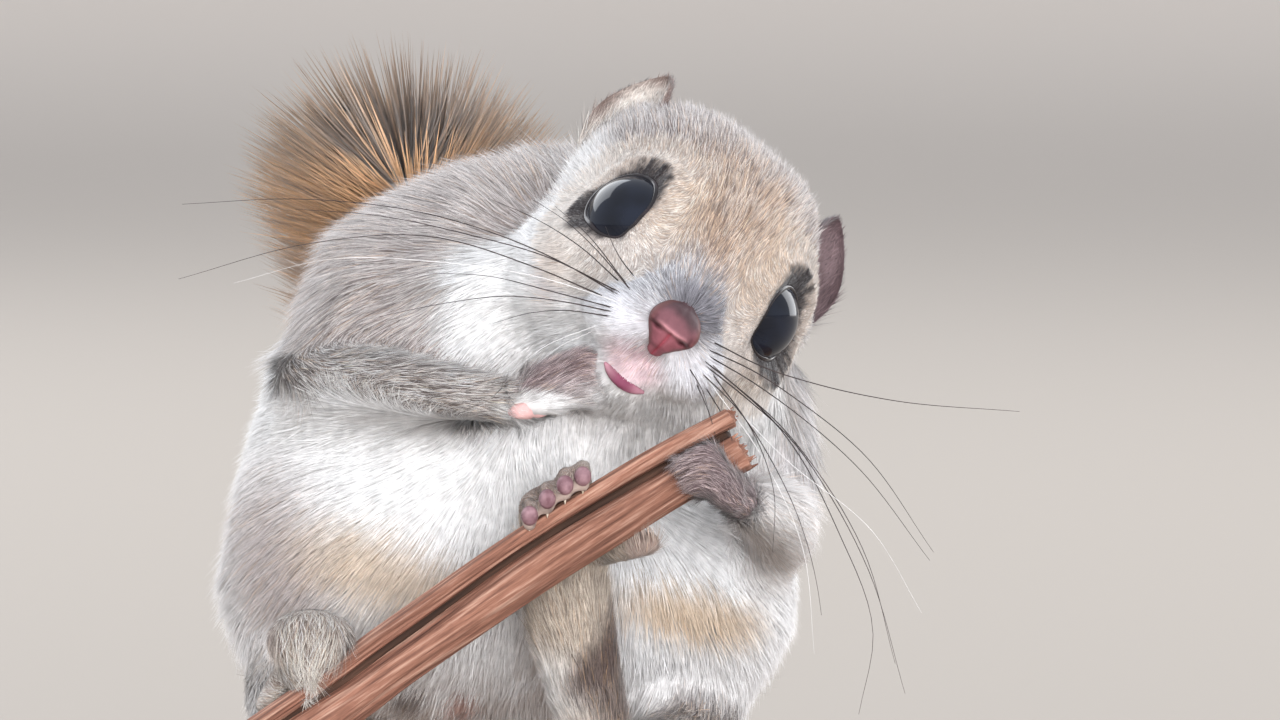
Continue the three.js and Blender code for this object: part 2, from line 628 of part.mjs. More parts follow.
// The stem: a thick and a thin strand of split dead wood side by side, with a groove between them
function strand(up, front, radius, from, to, grow = 0) {
  const length = stem.top.distanceTo(stem.bottom);
  const points = [];
  const sizes = [];
  for (let i = 0; i <= 8; i++) {
    const t = from + (to - from) * (i / 8);
    const at = stem.bottom.clone().addScaledVector(stemAlong, t * length);
    at.addScaledVector(stemUp, up + 0.12 * Math.sin(9 * t));
    points.push(at.addScaledVector(stemFront, front + 0.15 * Math.sin(13 * t)));
    const size = radius * (1 + 0.05 * Math.sin(11 * t + up));
    sizes.push([size, size * 1.15]);
  }
  return limb(points, sizes, { sides: 7, steps: 7, caps: 1, side: stemUp, grow });
}
const perch = (grow = 0) => [
  strand(-0.95, 0, stem.strandRadius, 0, 0.985, grow),
  strand(1.65, -0.2, stem.thinRadius, 0.01, 1, grow),
];

// Display stand: a round base and two short rods, one up into the body and one up into the stem
const bodyRod = v(hips.x, 5, 0);
const stemRodX = -32.5;
function pillar(at, top, grow = 0) {
  const low = base.thickness + gap - grow;
  const height = top + grow - low;
  const cylinder = new THREE.CylinderGeometry(rod.radius + grow, rod.radius + grow, height, 20);
  return cylinder.rotateX(Math.PI / 2).translate(at.x, at.y, low + height / 2);
}
const torsoBottom = 16.2;
const stemAtRod = onStem(stemRodX, 0, 0);
const bodyPillar = (grow = 0) => [pillar(bodyRod, torsoBottom + rod.grip, grow)];
const stemPillar = (grow = 0) => [pillar(stemAtRod, stemAtRod.z - 0.6, grow)];
function standBase() {
  const { radius, thickness, edge } = base;
  const profile = [
    [0, 0],
    [radius - edge, 0],
    [radius, edge],
    [radius, thickness - edge],
    [radius - edge, thickness],
    [0, thickness],
  ].map(([x, y]) => new THREE.Vector2(x, y));
  return [new THREE.LatheGeometry(profile, 32).rotateX(Math.PI / 2)];
}

// Colours, as red, green and blue from 0 to 1
const colours = {
  back: [0.62, 0.54, 0.46],
  belly: [0.93, 0.91, 0.88],
  limb: [0.55, 0.46, 0.4],
  tail: [0.66, 0.47, 0.28],
  bare: [0.85, 0.5, 0.47],
  eyes: [0.03, 0.03, 0.04],
  ears: [0.55, 0.42, 0.4],
  wood: [0.6, 0.34, 0.22],
  board: [0.5, 0.36, 0.24],
  metal: [0.62, 0.6, 0.56],
};

const figure = new THREE.Group();
function place(name, colour, shapes, cutters = [], finish = {}) {
  const { roughness = 0.9, metalness = 0, carve = [], within } = finish;
  let solid = join(shapes);
  if (within) solid = solid.intersect(join(within));
  for (const cutter of cutters) solid = solid.subtract(join(cutter(gap)));
  for (const shape of carve) solid = solid.subtract(solidOf(shape));
  const [r, g, b] = colours[colour];
  const material = new THREE.MeshStandardMaterial({ color: new THREE.Color(r, g, b), roughness, metalness });
  const mesh = new THREE.Mesh(geometryOf(largest(solid)), material);
  mesh.name = name;
  figure.add(mesh);
  return mesh;
}

const eyeRight = (grow) => eyeball(false, grow);
const eyeLeft = (grow) => eyeball(true, grow);
const muzzleRight = (grow) => muzzle(false, grow);
const muzzleLeft = (grow) => muzzle(true, grow);
const face = (grow) => [...skull(grow), ...pads(grow)];
const hairyFace = (grow) => [...head(grow), ...muzzle(false, grow), ...muzzle(true, grow)];
const rightSide = [thigh.right, shin.right, hindFoot.right, forearm.right, upperArm.right, rightHand];
const arms = [upperArm.right, upperArm.left];
const thighs = [thigh.right, thigh.left];
const leftSide = [thigh.left, shin.left, hindFoot.left, forearm.left, upperArm.left, leftHand];

place("stand_base", "board", standBase(), [], { roughness: 0.45 });
place("stand_rod_body", "metal", bodyPillar(), [], { roughness: 0.3, metalness: 1 });
place("stand_rod_perch", "metal", stemPillar(), [], { roughness: 0.3, metalness: 1 });
place("perch_stem", "wood", perch(), [stemPillar], { roughness: 0.85 });
place("eye_right", "eyes", eyeRight(0), [], { roughness: 0.05 });
place("eye_left", "eyes", eyeLeft(0), [], { roughness: 0.05 });
place("nose", "bare", nose(), [], { roughness: 0.5, carve: nostrils() });
place("lower_jaw", "belly", jaw(), [nose]);
place("head", "back", head(), [eyeRight, eyeLeft, nose, jaw]);
place("muzzle_right", "belly", muzzle(false), [head, nose, jaw]);
place("muzzle_left", "belly", muzzle(true), [head, nose, jaw, muzzleRight]);
place("ear_right", "ears", earShell(false), [skull], { carve: earCup(false) });
place("ear_left", "ears", earShell(true), [skull], { carve: earCup(true) });
place("neck", "belly", neck(), [face, jaw]);
place("torso", "back", torso(), [bodyPillar, neck, skull, jaw, ...arms, ...thighs]);
place("hand_left", "limb", leftHand(), [perch]);
place("hand_right", "limb", rightHand(), [face, jaw, neck]);
place("foot_left", "limb", hindFoot.left(), [perch, torso]);
place("foot_right", "limb", hindFoot.right(), [perch, torso]);
place("forearm_right", "limb", forearm.right(), [rightHand, neck, torso]);
place("forearm_left", "limb", forearm.left(), [leftHand, hairyFace, neck, torso, perch]);
place("upper_arm_right", "back", upperArm.right(), [forearm.right, neck, face]);
place("upper_arm_left", "back", upperArm.left(), [forearm.left, neck, face]);
place("shin_right", "limb", shin.right(), [hindFoot.right, torso, thigh.right]);
place("shin_left", "limb", shin.left(), [hindFoot.left, torso, thigh.left]);
place("thigh_right", "back", thigh.right());
place("thigh_left", "back", thigh.left(), [bodyPillar]);
place("membrane_right", "belly", membranes.right(), [torso, ...rightSide, perch, hindFoot.left]);
place("membrane_left", "belly", membranes.left(), [torso, ...leftSide, perch]);
place("tail_root", "tail", tailRoot(), [torso, tailCore]);
place("tail_middle", "tail", tailBrush, [torso, pastMiddle]);
place("tail_tip", "tail", tailBrush, [torso], { within: pastMiddle() });

export default figure;
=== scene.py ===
import math
import bpy
import numpy as np
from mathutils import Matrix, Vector, kdtree


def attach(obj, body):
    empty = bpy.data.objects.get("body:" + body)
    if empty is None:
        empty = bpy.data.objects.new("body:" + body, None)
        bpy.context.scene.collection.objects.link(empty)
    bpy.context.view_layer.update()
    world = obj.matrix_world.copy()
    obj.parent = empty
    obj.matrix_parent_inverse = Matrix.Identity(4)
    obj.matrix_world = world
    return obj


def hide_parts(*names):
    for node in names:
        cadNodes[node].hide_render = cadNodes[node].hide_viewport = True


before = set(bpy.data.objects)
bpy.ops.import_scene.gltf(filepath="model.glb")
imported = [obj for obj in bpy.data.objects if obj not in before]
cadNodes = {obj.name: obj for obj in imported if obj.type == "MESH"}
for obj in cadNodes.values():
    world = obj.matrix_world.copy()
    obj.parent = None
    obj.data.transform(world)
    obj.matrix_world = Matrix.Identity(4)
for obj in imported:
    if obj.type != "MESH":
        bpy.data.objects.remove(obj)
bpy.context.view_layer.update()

# A flying squirrel on a cut stem, life size. Shapes are worked out in millimetres and made in metres.
# The front is towards -y, and the animal's right is towards -x.
scene = bpy.context.scene
draw = np.random.default_rng(19)
toMetres = 0.001


# vectors, curves and noise
def vec(*numbers):
    return np.array(numbers, float)


def unit(v):
    v = np.asarray(v, float)
    return v / np.maximum(np.linalg.norm(v, axis=-1, keepdims=True), 1e-9)


def turnAbout(axis, degrees):
    x, y, z = unit(axis)
    cross = np.array([[0, -z, y], [z, 0, -x], [-y, x, 0]])
    angle = math.radians(degrees)
    return np.eye(3) + math.sin(angle) * cross + (1 - math.cos(angle)) * cross @ cross


def smoothStep(low, high, value):
    t = np.clip((value - low) / (high - low), 0, 1)
    return t * t * (3 - 2 * t)


def smoothCurve(points, count):
    p = np.array(points, float)
    t = np.concatenate([[0], np.cumsum(np.linalg.norm(np.diff(p, axis=0), axis=1))])
    slope = np.gradient(p, t, axis=0)
    at = np.linspace(0, t[-1], count)
    i = np.clip(np.searchsorted(t, at, side="right") - 1, 0, len(t) - 2)
    h = (t[i + 1] - t[i])[:, None]
    s = (at[:, None] - t[i][:, None]) / h
    return ((2 * s**3 - 3 * s**2 + 1) * p[i] + (s**3 - 2 * s**2 + s) * h * slope[i]
            + (3 * s**2 - 2 * s**3) * p[i + 1] + (s**3 - s**2) * h * slope[i + 1])


def softNoise(points, size, kind=0):
    # smooth noise from -1 to 1 with blobs about "size" across
    q = np.asarray(points, float) / size + 37.7 * (kind + 1)
    cell = np.floor(q).astype(np.int64)
    f = q - cell
    f = f * f * (3 - 2 * f)
    total = np.zeros(len(q))
    for corner in range(8):
        step = np.array([corner & 1, corner >> 1 & 1, corner >> 2 & 1])
        c = cell + step
        h = (c[:, 0] * 374761393 + c[:, 1] * 668265263 + c[:, 2] * 2147483647 + kind * 974634777) & 0xFFFFFFFF
        h = ((h ^ (h >> 13)) * 1274126177) & 0xFFFFFFFF
        h = (h ^ (h >> 16)) / 4294967295
        weight = np.prod(np.where(step, f, 1 - f), axis=1)
        total += weight * (2 * h - 1)
    return total


def addMesh(name, points, triangles, material):
    mesh = bpy.data.meshes.new(name)
    triangles = np.asarray(triangles, np.int32)
    mesh.vertices.add(len(points))
    mesh.vertices.foreach_set("co", (np.asarray(points, float) * toMetres).astype(np.float32).ravel())
    mesh.loops.add(triangles.size)
    mesh.loops.foreach_set("vertex_index", triangles.ravel())
    mesh.polygons.add(len(triangles))
    mesh.polygons.foreach_set("loop_start", np.arange(0, triangles.size, 3, dtype=np.int32))
    mesh.polygons.foreach_set("use_smooth", np.ones(len(triangles), bool))
    mesh.update(calc_edges=True)
    mesh.materials.append(material)
    piece = bpy.data.objects.new(name, mesh)
    scene.collection.objects.link(piece)
    return piece


def addNormals(piece, normals):
    # shading normals of the surface below, so that fine hair is lit softly
    layer = piece.data.attributes.new("custom_normal", "FLOAT_VECTOR", "POINT")
    layer.data.foreach_set("vector", np.asarray(normals, np.float32).ravel())


def addUv(piece, name, corners):
    layer = piece.data.uv_layers.new(name=name)
    layer.data.foreach_set("uv", np.asarray(corners, np.float32).ravel())


def addColour(piece, name, colours):
    layer = piece.data.color_attributes.new(name, "FLOAT_COLOR", "POINT")
    full = np.ones((len(colours), 4), np.float32)
    full[:, :3] = colours
    layer.data.foreach_set("color", full.ravel())


def readMesh(mesh):
    # a mesh's points and triangles
    mesh.calc_loop_triangles()
    points = np.empty(len(mesh.vertices) * 3, np.float32)
    mesh.vertices.foreach_get("co", points)
    triangles = np.empty(len(mesh.loop_triangles) * 3, np.int32)
    mesh.loop_triangles.foreach_get("vertices", triangles)
    return points.reshape(-1, 3).astype(float), triangles.reshape(-1, 3).astype(np.int64)


def joinParts(parts):
    points, triangles, start = [], [], 0
    for p, t in parts:
        points.append(p)
        triangles.append(np.asarray(t) + start)
        start += len(p)
    return np.concatenate(points), np.concatenate(triangles)


def tubeFaces(rows, around):
    # faces of a closed tube: rows of points, then one point that closes each end
    i, j = np.meshgrid(np.arange(rows - 1), np.arange(around), indexing="ij")
    a, b = i * around + j, i * around + (j + 1) % around
    c, d = a + around, b + around
    j, n = np.arange(around), rows * around
    following, last = (j + 1) % around, n - around
    corners = [[a, b, d], [a, d, c], [np.full(around, n), following, j],
               [np.full(around, n + 1), last + j, last + following]]
    return np.concatenate([np.stack(face, -1).reshape(-1, 3) for face in corners])


def ringTube(centres, wide, deep, sides=10, capRings=3):
    # a closed tube with round ends: wide and deep are the half sizes of each ring, as vectors
    centres, wide, deep = (np.asarray(a, float) for a in (centres, wide, deep))
    heading = unit(np.gradient(centres, axis=0))
    rings = []
    for end, sign in ((0, -1), (len(centres) - 1, 1)):
        depth = min(np.linalg.norm(wide[end]), np.linalg.norm(deep[end]))
        cap = []
        for k in range(capRings):
            a = (k + 1) / (capRings + 0.35) * math.pi / 2
            cap.append((centres[end] + heading[end] * sign * depth * math.sin(a),
                        wide[end] * math.cos(a), deep[end] * math.cos(a)))
        rings.append(cap[::-1] if sign < 0 else cap)
    whole = rings[0] + list(zip(centres, wide, deep)) + rings[1]
    angle = np.linspace(0, 2 * math.pi, sides, endpoint=False)
    points = np.array([c + np.cos(angle)[:, None] * w + np.sin(angle)[:, None] * d for c, w, d in whole])
    ends = np.array([points[0].mean(0), points[-1].mean(0)])
    return np.concatenate([points.reshape(-1, 3), ends]), tubeFaces(len(points), sides)


def limb(points, widths, side=(0, 1, 0), sides=12, steps=14, capRings=3):
    # a bent tube with [across, through] half widths, as in the solids
    line = smoothCurve(points, steps)
    t = np.linspace(0, len(widths) - 1, steps)
    sizes = np.array([np.interp(t, np.arange(len(widths)), [w[k] for w in widths]) for k in (0, 1)]).T
    heading = unit(np.gradient(line, axis=0))
    side = np.asarray(side, float)
    wide = unit(side - heading * (heading @ side)[:, None])
    deep = np.cross(heading, wide)
    return ringTube(line, wide * sizes[:, :1], deep * sizes[:, 1:], sides, capRings)


def ellipsoid(centre, radii, around=28, along=18):
    angle = np.linspace(0, 2 * math.pi, around, endpoint=False)
    points = np.array([[np.cos(angle) * math.sin(k), np.sin(angle) * math.sin(k),
                        np.full(around, -math.cos(k))] for k in np.linspace(0, math.pi, along + 1)[1:-1]])
    points = np.concatenate([points.transpose(0, 2, 1).reshape(-1, 3), [[0, 0, -1], [0, 0, 1]]])
    return points * np.asarray(radii) + np.asarray(centre), tubeFaces(along - 1, around)


def edgesOf(triangles):
    e = np.concatenate([triangles[:, [0, 1]], triangles[:, [1, 2]], triangles[:, [2, 0]]])
    e.sort(axis=1)
    return np.unique(e, axis=0)


def spreadOut(values, edges, rounds, share=0.5):
    # averages each point's values with its neighbours'; share may be one number or one per point
    values = np.array(values, float)
    flat = values.reshape(len(values), -1)
    count = np.bincount(edges.ravel(), minlength=len(flat)).astype(float)
    share = np.broadcast_to(np.asarray(share, float).reshape(-1, 1), (len(flat), 1))
    for _ in range(rounds):
        total = np.zeros_like(flat)
        for k in range(flat.shape[1]):
            total[:, k] = (np.bincount(edges[:, 0], flat[edges[:, 1], k], len(flat))
                           + np.bincount(edges[:, 1], flat[edges[:, 0], k], len(flat)))
        flat += share * (total / np.maximum(count, 1)[:, None] - flat)
    return flat.reshape(values.shape)


def areaOf(points, triangles):
    a, b, c = (points[triangles[:, k]] for k in range(3))
    return np.linalg.norm(np.cross(b - a, c - a), axis=1) / 2


def pickPlaces(rate, count):
    # faces picked at random by their rate, and a random place in each as shares of its corners
    pick = draw.choice(len(rate), count, p=rate / rate.sum())
    u, v = draw.random((2, count))
    flip = u + v > 1
    u[flip], v[flip] = 1 - u[flip], 1 - v[flip]
    return pick, np.stack([1 - u - v, u, v], 1)[:, :, None]


def normalsOf(points, triangles):
    a, b, c = (points[triangles[:, k]] for k in range(3))
    face = np.cross(b - a, c - a)
    total = np.zeros_like(points)
    for k in range(3):
        for axis in range(3):
            total[:, axis] += np.bincount(triangles[:, k], face[:, axis], len(points))
    return unit(total)


# places shared with the solids
body = {
    "headCentre": vec(10.85, -12, 64.1),
    "tilt": 38, "turn": 6, "nod": -2.7,
    "elbow": {"right": vec(-25, -12, 55), "left": vec(21.6, -9, 39.5)},
    "wrist": {"right": vec(-4.6, -28, 53.4), "left": vec(18, -34.4, 44)},
    "knee": {"right": vec(-27, -3, 29), "left": vec(15, -4, 20.8)},
    "ankle": {"right": vec(-26.5, -27, 17), "left": vec(4.5, -26.6, 17.5)},
}
headTurn = (turnAbout((0, 1, 0), body["tilt"]) @ turnAbout((0, 0, 1), body["turn"])
            @ turnAbout((1, 0, 0), body["nod"]))


def fromHead(points):
    return np.asarray(points, float) @ headTurn.T + body["headCentre"]


def toHead(points):
    return (np.asarray(points, float) - body["headCentre"]) @ headTurn


stem = {"top": vec(18.2, -33.2, 50.2), "bottom": vec(-36.5, -36.5, 13.9), "topUp": 3.1}
stemLength = np.linalg.norm(stem["top"] - stem["bottom"])
stemAlong = unit(stem["top"] - stem["bottom"])
stemFront = unit(vec(0, -1, 0) + stemAlong * stemAlong[1])
stemUp = -np.cross(stemAlong, stemFront)


def onStem(x, front, up):
    t = (x - stem["bottom"][0]) / (stem["top"][0] - stem["bottom"][0])
    return stem["bottom"] + (stem["top"] - stem["bottom"]) * t + stemFront * front + stemUp * up


tailPath = [vec(-5, 24, 23), vec(-7, 35, 25), vec(-9, 39.5, 38), vec(-11, 39, 53), vec(-13.5, 34, 65),
            vec(-16, 28.5, 72.5)]
acrossTail = unit(vec(1, 0.1, 0.12))
eye = {
    "right": {"centre": vec(-7.95, -9.55, 2.7), "out": unit(vec(-0.74, -0.64, 0.22))},
    "left": {"centre": vec(6.95, -9.55, 2.75), "out": unit(vec(0.74, -0.64, 0.22))},
    "radius": 4.8, "lid": 0.27, "socket": 4.95,
    "frontCorner": vec(0, -1, -0.42),
    # the opening's edge, as degrees from the eye's own axis at places all round it, from the front corner
    "openingAt": [8, 35, 68, 102, 127, 157, 186, 214, 240, 270, 297, 321, 346],
    "opening": [52, 49, 46.5, 57, 59, 56, 56, 58, 56, 48.6, 44.3, 41.8, 45.1],
    # width of the dark ring of fur outside it, in millimetres
    "darkAt": [0, 15, 35, 55, 70, 88, 102, 116, 130, 145, 162, 190, 205, 218, 234, 248, 262, 280, 300, 335],
    "dark": [0.3, 0.25, 0.4, 0.6, 0.8, 0.88, 0.9, 0.85, 0.7, 0.45, 0.35, 0.5, 0.75, 0.92, 0.98, 0.9, 0.72,
             0.55, 0.4, 0.3],
}


def eyeView(side, headPoints):
    # how far points lie along and across an eye's own axis, in millimetres
    offset = headPoints - eye[side]["centre"]
    forwards, upwards = eyeAxes(side)
    return offset @ eye[side]["out"], offset @ forwards, offset @ upwards


def eyeAxes(side):
    out = eye[side]["out"]
    forwards = unit(eye["frontCorner"] - out * (eye["frontCorner"] @ out))
    return forwards, np.cross(forwards, out) * (-1 if side == "left" else 1)


def allRound(turn, places, values):
    # a smooth value at angles all round, from a few given ones
    places = np.array(places, float)
    spare = 90  # degrees beyond a whole turn, so that its ends are smooth as well
    dense = np.interp(np.arange(-spare, 362 + spare), np.concatenate([places - 360, places, places + 360]),
                      np.tile(values, 3))
    soft = np.hanning(25) / np.hanning(25).sum()
    return np.convolve(dense, soft, "same")[(turn + spare).astype(int)]


def onRim(side, turn, beyond, far):
    # places at the edge of the eye's opening, some degrees beyond it and some way from the eye's middle
    forwards, upwards = eyeAxes(side)
    off = np.radians(allRound(turn, eye["openingAt"], eye["opening"]) + beyond)[:, None]
    angle = np.radians(turn)[:, None]
    around = forwards * np.cos(angle) + upwards * np.sin(angle)
    return eye[side]["centre"] + (eye[side]["out"] * np.cos(off) + around * np.sin(off)) * far


def roundEye(side, headPoints):
    # distance outside the edge of the eye's opening, angle round the eye and distance from its middle
    ahead, forwards, upwards = eyeView(side, headPoints)
    far = np.sqrt(ahead**2 + forwards**2 + upwards**2)
    turn = np.degrees(np.arctan2(upwards, forwards)) % 360
    off = np.degrees(np.arccos(np.clip(ahead / np.maximum(far, 1e-6), -1, 1)))
    margin = (off - allRound(turn, eye["openingAt"], eye["opening"])) * math.radians(eye["radius"])
    return margin, turn, far


# materials
def newMaterial(name, **sockets):
    material = bpy.data.materials.new(name)
    material.use_nodes = True
    shader = material.node_tree.nodes["Principled BSDF"]
    for socket, value in sockets.items():
        shader.inputs[socket.replace("_", " ")].default_value = value
    return material, material.node_tree, shader


def addNode(tree, kind, **settings):
    node = tree.nodes.new("ShaderNode" + kind)
    for key, value in settings.items():
        if key.startswith("in_"):
            node.inputs[key[3:].replace("_", " ")].default_value = value
        else:
            setattr(node, key, value)
    return node


def addNoise(tree, scale, detail):
    place = addNode(tree, "TexCoord")
    noise = addNode(tree, "TexNoise", in_Scale=scale, in_Detail=detail)
    tree.links.new(place.outputs["Object"], noise.inputs["Vector"])
    return noise.outputs["Fac"]


def mixColours(tree, mode, share, first, second):
    node = addNode(tree, "Mix", data_type="RGBA", blend_type=mode)
    for socket, value in ((node.inputs[0], share), (node.inputs[6], first), (node.inputs[7], second)):
        if isinstance(value, (int, float, tuple)):
            socket.default_value = value
        else:
            tree.links.new(value, socket)
    return node.outputs[2]


def ramp(tree, source, stops):
    node = addNode(tree, "ValToRGB")
    bar = node.color_ramp.elements
    while len(bar) < len(stops):
        bar.new(0.5)
    for element, (place, colour) in zip(bar, stops):
        element.position = place
        element.color = (*colour, 1)
    tree.links.new(source, node.inputs[0])
    return node.outputs[0]


def addBump(tree, shader, height, strength, distance):
    node = addNode(tree, "Bump", in_Strength=strength, in_Distance=distance)
    tree.links.new(height, node.inputs["Height"])
    tree.links.new(node.outputs["Normal"], shader.inputs["Normal"])


def coatMaterial(name, roughness, sheen, bump=0):
    # colour painted on the points, with a fine uneven tone over it
    material, tree, shader = newMaterial(name, Roughness=roughness, Sheen_Weight=sheen, Sheen_Roughness=0.5,
                                         Specular_IOR_Level=0.25)
    paint = addNode(tree, "Attribute", attribute_name="coatColour")
    fine = addNoise(tree, 900.0, 3.0)
    tone = ramp(tree, fine, [(0.3, (0.82, 0.82, 0.82)), (0.7, (1.12, 1.12, 1.12))])
    tone = mixColours(tree, "MULTIPLY", 1.0, paint.outputs["Color"], tone)
    tree.links.new(tone, shader.inputs["Base Color"])
    if bump:
        addBump(tree, shader, fine, bump, 0.0002)
    return material


furMaterial = coatMaterial("softWinterFur", 0.62, 0.25)
skinMaterial = coatMaterial("underFur", 0.85, 0.1)
print("materials for the coat are ready")

# skin: one body under the coat
digits = {
    # how the length is split between the bones, the width at each place, and the start inside the palm
    "split": [0.42, 0.32, 0.26], "widths": [1, 1, 0.9, 0.86, 0.9], "inside": 1.6,
}
claws = []
padSpots = []


def digit(start, heading, hinge, length, bends, radius, claw, padded=False):
    direction = unit(heading)
    points = [start - direction * digits["inside"], start.copy()]
    for bend, share in zip(bends, digits["split"]):
        direction = turnAbout(hinge, bend) @ direction
        points.append(points[-1] + direction * length * share)
    claws.append({"tip": points[-1], "direction": direction, "hinge": np.asarray(hinge, float), "size": claw})
    if padded:
        padSpots.append({"at": points[-1], "direction": direction, "radius": radius})
    return limb(points, [[radius * k] * 2 for k in digits["widths"]], hinge, 12, 16)


rightHandPlan = {
    "across": unit(vec(0.25, 0.55, 0.8)), "ahead": unit(vec(0.86, -0.2, 0.35)),
    "start": 1.4, "end": 6.4, "middle": 0.7, "palm": [[2.8, 2.2], [3.4, 2.1], [3.3, 1.9]],
    "places": [-2.5, -0.85, 0.85, 2.4], "lengths": [6.2, 7.4, 7.2, 6], "bends": [62, 62, 42],
    "radius": 1.15, "claw": 1.0,
}
leftHandPlan = {
    "knuckles": onStem(14.0, 4.0, -0.6), "ahead": unit(stemUp * 0.12 - stemAlong - stemFront * 0.06),
    "end": 0.8, "middle": 0.5, "palm": [[2.5, 2.0], [2.9, 2.0], [2.9, 1.8], [2.6, 1.5]],
    "places": [-1.9, -0.7, 0.5, 1.7], "lengths": [3.2, 3.8, 3.9, 3.4], "bends": [22, 40, 36],
    "radius": 0.9, "claw": 0.35,
}


def fingers(plan, start, across, hinge):
    return [digit(start + across * place, plan["ahead"], hinge, length, plan["bends"], plan["radius"],
                  plan["claw"]) for place, length in zip(plan["places"], plan["lengths"])]


def rightHand():
    plan, wrist = rightHandPlan, body["wrist"]["right"]
    across, ahead = plan["across"], plan["ahead"]
    end = wrist + ahead * plan["end"]
    middle = (wrist + end) / 2 + ahead * plan["middle"]
    palmForm = limb([wrist + ahead * plan["start"], middle, end], plan["palm"], across)
    return [palmForm] + fingers(plan, end, across, across)


def leftHand():
    plan, wrist = leftHandPlan, body["wrist"]["left"]
    knuckles = plan["knuckles"]
    middle = (wrist + knuckles) / 2 + stemFront * plan["middle"]
    palmForm = limb([wrist, middle, knuckles, knuckles + plan["ahead"] * plan["end"]], plan["palm"], stemUp)
    return [palmForm] + fingers(plan, knuckles, stemUp, -stemUp)


hindFeet = {
    # toes are set along the stem; the right foot has a furry mound on top, the left one a toe to the side
    "right": {"at": -24.4, "rise": 2.3, "arch": vec(0.8, 1.2, 0), "places": [-4.4, -2.1, 0, 2.1, 4.3],
              "heights": [-0.4, 0.8, 0, -0.8, -3], "lengths": [6.4, 7.4, 7.6, 7.2, 6], "bends": [30, 85, 55],
              "closing": 0.12, "radius": 1.4, "padded": False},
    "left": {"at": 0, "rise": 2.1, "arch": vec(-0.9, 1.2, 0), "places": [-3.3, -1.2, 0.9, 3],
             "heights": [-0.4, 0.1, 0.3, 0], "lengths": [6.3, 6.7, 6.7, 6.2], "bends": [50, 50, 40],
             "closing": 0, "radius": 1.1, "padded": True},
    "behind": -3.4, "claw": 0.7, "widths": [[3.4, 2.9], [4.6, 2.7], [4.3, 2.1]],
    "mound": {"at": (-24.5, -33.2, 30), "radii": (4.6, 4.2, 3.3)},
    "sideToe": {"start": vec(4.4, -30.4, 38.6), "heading": vec(0.7, -0.7, 0.12), "hinge": stemUp,
                "length": 5.6, "bends": [0, 12, 20], "radius": 1.5, "claw": 0.5},
}


def hindFoot(side):
    plan, heel = hindFeet[side], body["ankle"][side]
    over = onStem(plan["at"] - stemUp[0] * stem["topUp"], hindFeet["behind"], stem["topUp"])
    over = over + vec(0, 0, plan["rise"])
    parts = [limb([heel, (heel + over) / 2 + plan["arch"], over], hindFeet["widths"], stemAlong)]
    for place, height, length in zip(plan["places"], plan["heights"], plan["lengths"]):
        start = over + stemAlong * place + vec(0, 0, height)
        heading = unit(vec(-place * plan["closing"], 0, 1))
        parts.append(digit(start, heading, vec(1, 0, 0), length, plan["bends"], plan["radius"],
                           hindFeet["claw"], plan["padded"]))
    if side == "right":
        parts.append(ellipsoid(hindFeet["mound"]["at"], hindFeet["mound"]["radii"], 36, 24))
    else:
        parts.append(digit(**hindFeet["sideToe"]))
    return parts


def cadShape(name):
    # a solid's surface, grown a little so that the gaps between neighbours close
    points, tris = readMesh(cadNodes[name].data)
    points, back = np.unique(np.round(points / toMetres, 2), axis=0, return_inverse=True)
    tris = back.ravel()[tris]
    tris = tris[(tris[:, 0] != tris[:, 1]) & (tris[:, 1] != tris[:, 2]) & (tris[:, 2] != tris[:, 0])]
    return points + normalsOf(points, tris) * fleshForms["closeGap"], tris


fleshForms = {
    "closeGap": 0.45,
    # rounded forms as middle and half sizes: the muzzle's from the head's own middle, then both flanks
    "muzzle": [((4, -16.2, -5.1), (4.4, 5, 4)), ((-3.9, -16.2, -5.1), (4.4, 5, 4)),
               ((0, -18.2, -3.2), (4.2, 4, 3.4))],
    "flanks": [((17.2, 9.6, 32), (4.6, 5, 8.5)), ((-23.6, 14.2, 33.5), (5.2, 5.6, 9))],
    "tailCore": [[4.6, 2.6], [5.2, 2.6], [5, 2.4], [2.4, 1.8]],
    # the solid behind each region of the skin
    "solids": {
        "head": "head", "jaw": "lower_jaw", "neck": "neck", "torso": "torso",
        "upperArmRight": "upper_arm_right", "upperArmLeft": "upper_arm_left",
        "forearmRight": "forearm_right", "forearmLeft": "forearm_left", "thighRight": "thigh_right",
        "thighLeft": "thigh_left", "shinRight": "shin_right", "shinLeft": "shin_left",
        "membraneRight": "membrane_right", "membraneLeft": "membrane_left", "tail": "tail_root",
    },
}
skinSources = {region: [cadShape(name)] for region, name in fleshForms["solids"].items()}
for side in ("right", "left"):
    skinSources["head"].append(ellipsoid(fromHead([eye[side]["centre"]])[0], (eye["socket"],) * 3, 36, 24))
skinSources["torso"] += [ellipsoid(*form) for form in fleshForms["flanks"]]
skinSources["muzzle"] = [(fromHead(p), t) for p, t in (ellipsoid(*form) for form in fleshForms["muzzle"])]
skinSources["handRight"] = rightHand()
skinSources["handLeft"] = leftHand()
skinSources["footRight"] = hindFoot("right")
skinSources["footLeft"] = hindFoot("left")
coreLine = smoothCurve(tailPath, 60)[10::5]
skinSources["tail"].append(limb(coreLine, fleshForms["tailCore"], acrossTail, 16, 40, 4))
regions = list(skinSources)
pawRegions = ["handRight", "handLeft", "footRight", "footLeft"]


def voxelBody(parts, voxel):
    points, tris = joinParts(parts)
    mesh = bpy.data.meshes.new("skinWork")
    mesh.from_pydata(points.tolist(), [], tris.tolist())
    work = bpy.data.objects.new("skinWork", mesh)
    scene.collection.objects.link(work)
    remesh = work.modifiers.new("voxels", "REMESH")
    remesh.mode = "VOXEL"
    remesh.voxel_size = voxel
    made = readMesh(work.evaluated_get(bpy.context.evaluated_depsgraph_get()).to_mesh())
    bpy.data.objects.remove(work)
    bpy.data.meshes.remove(mesh)
    return made


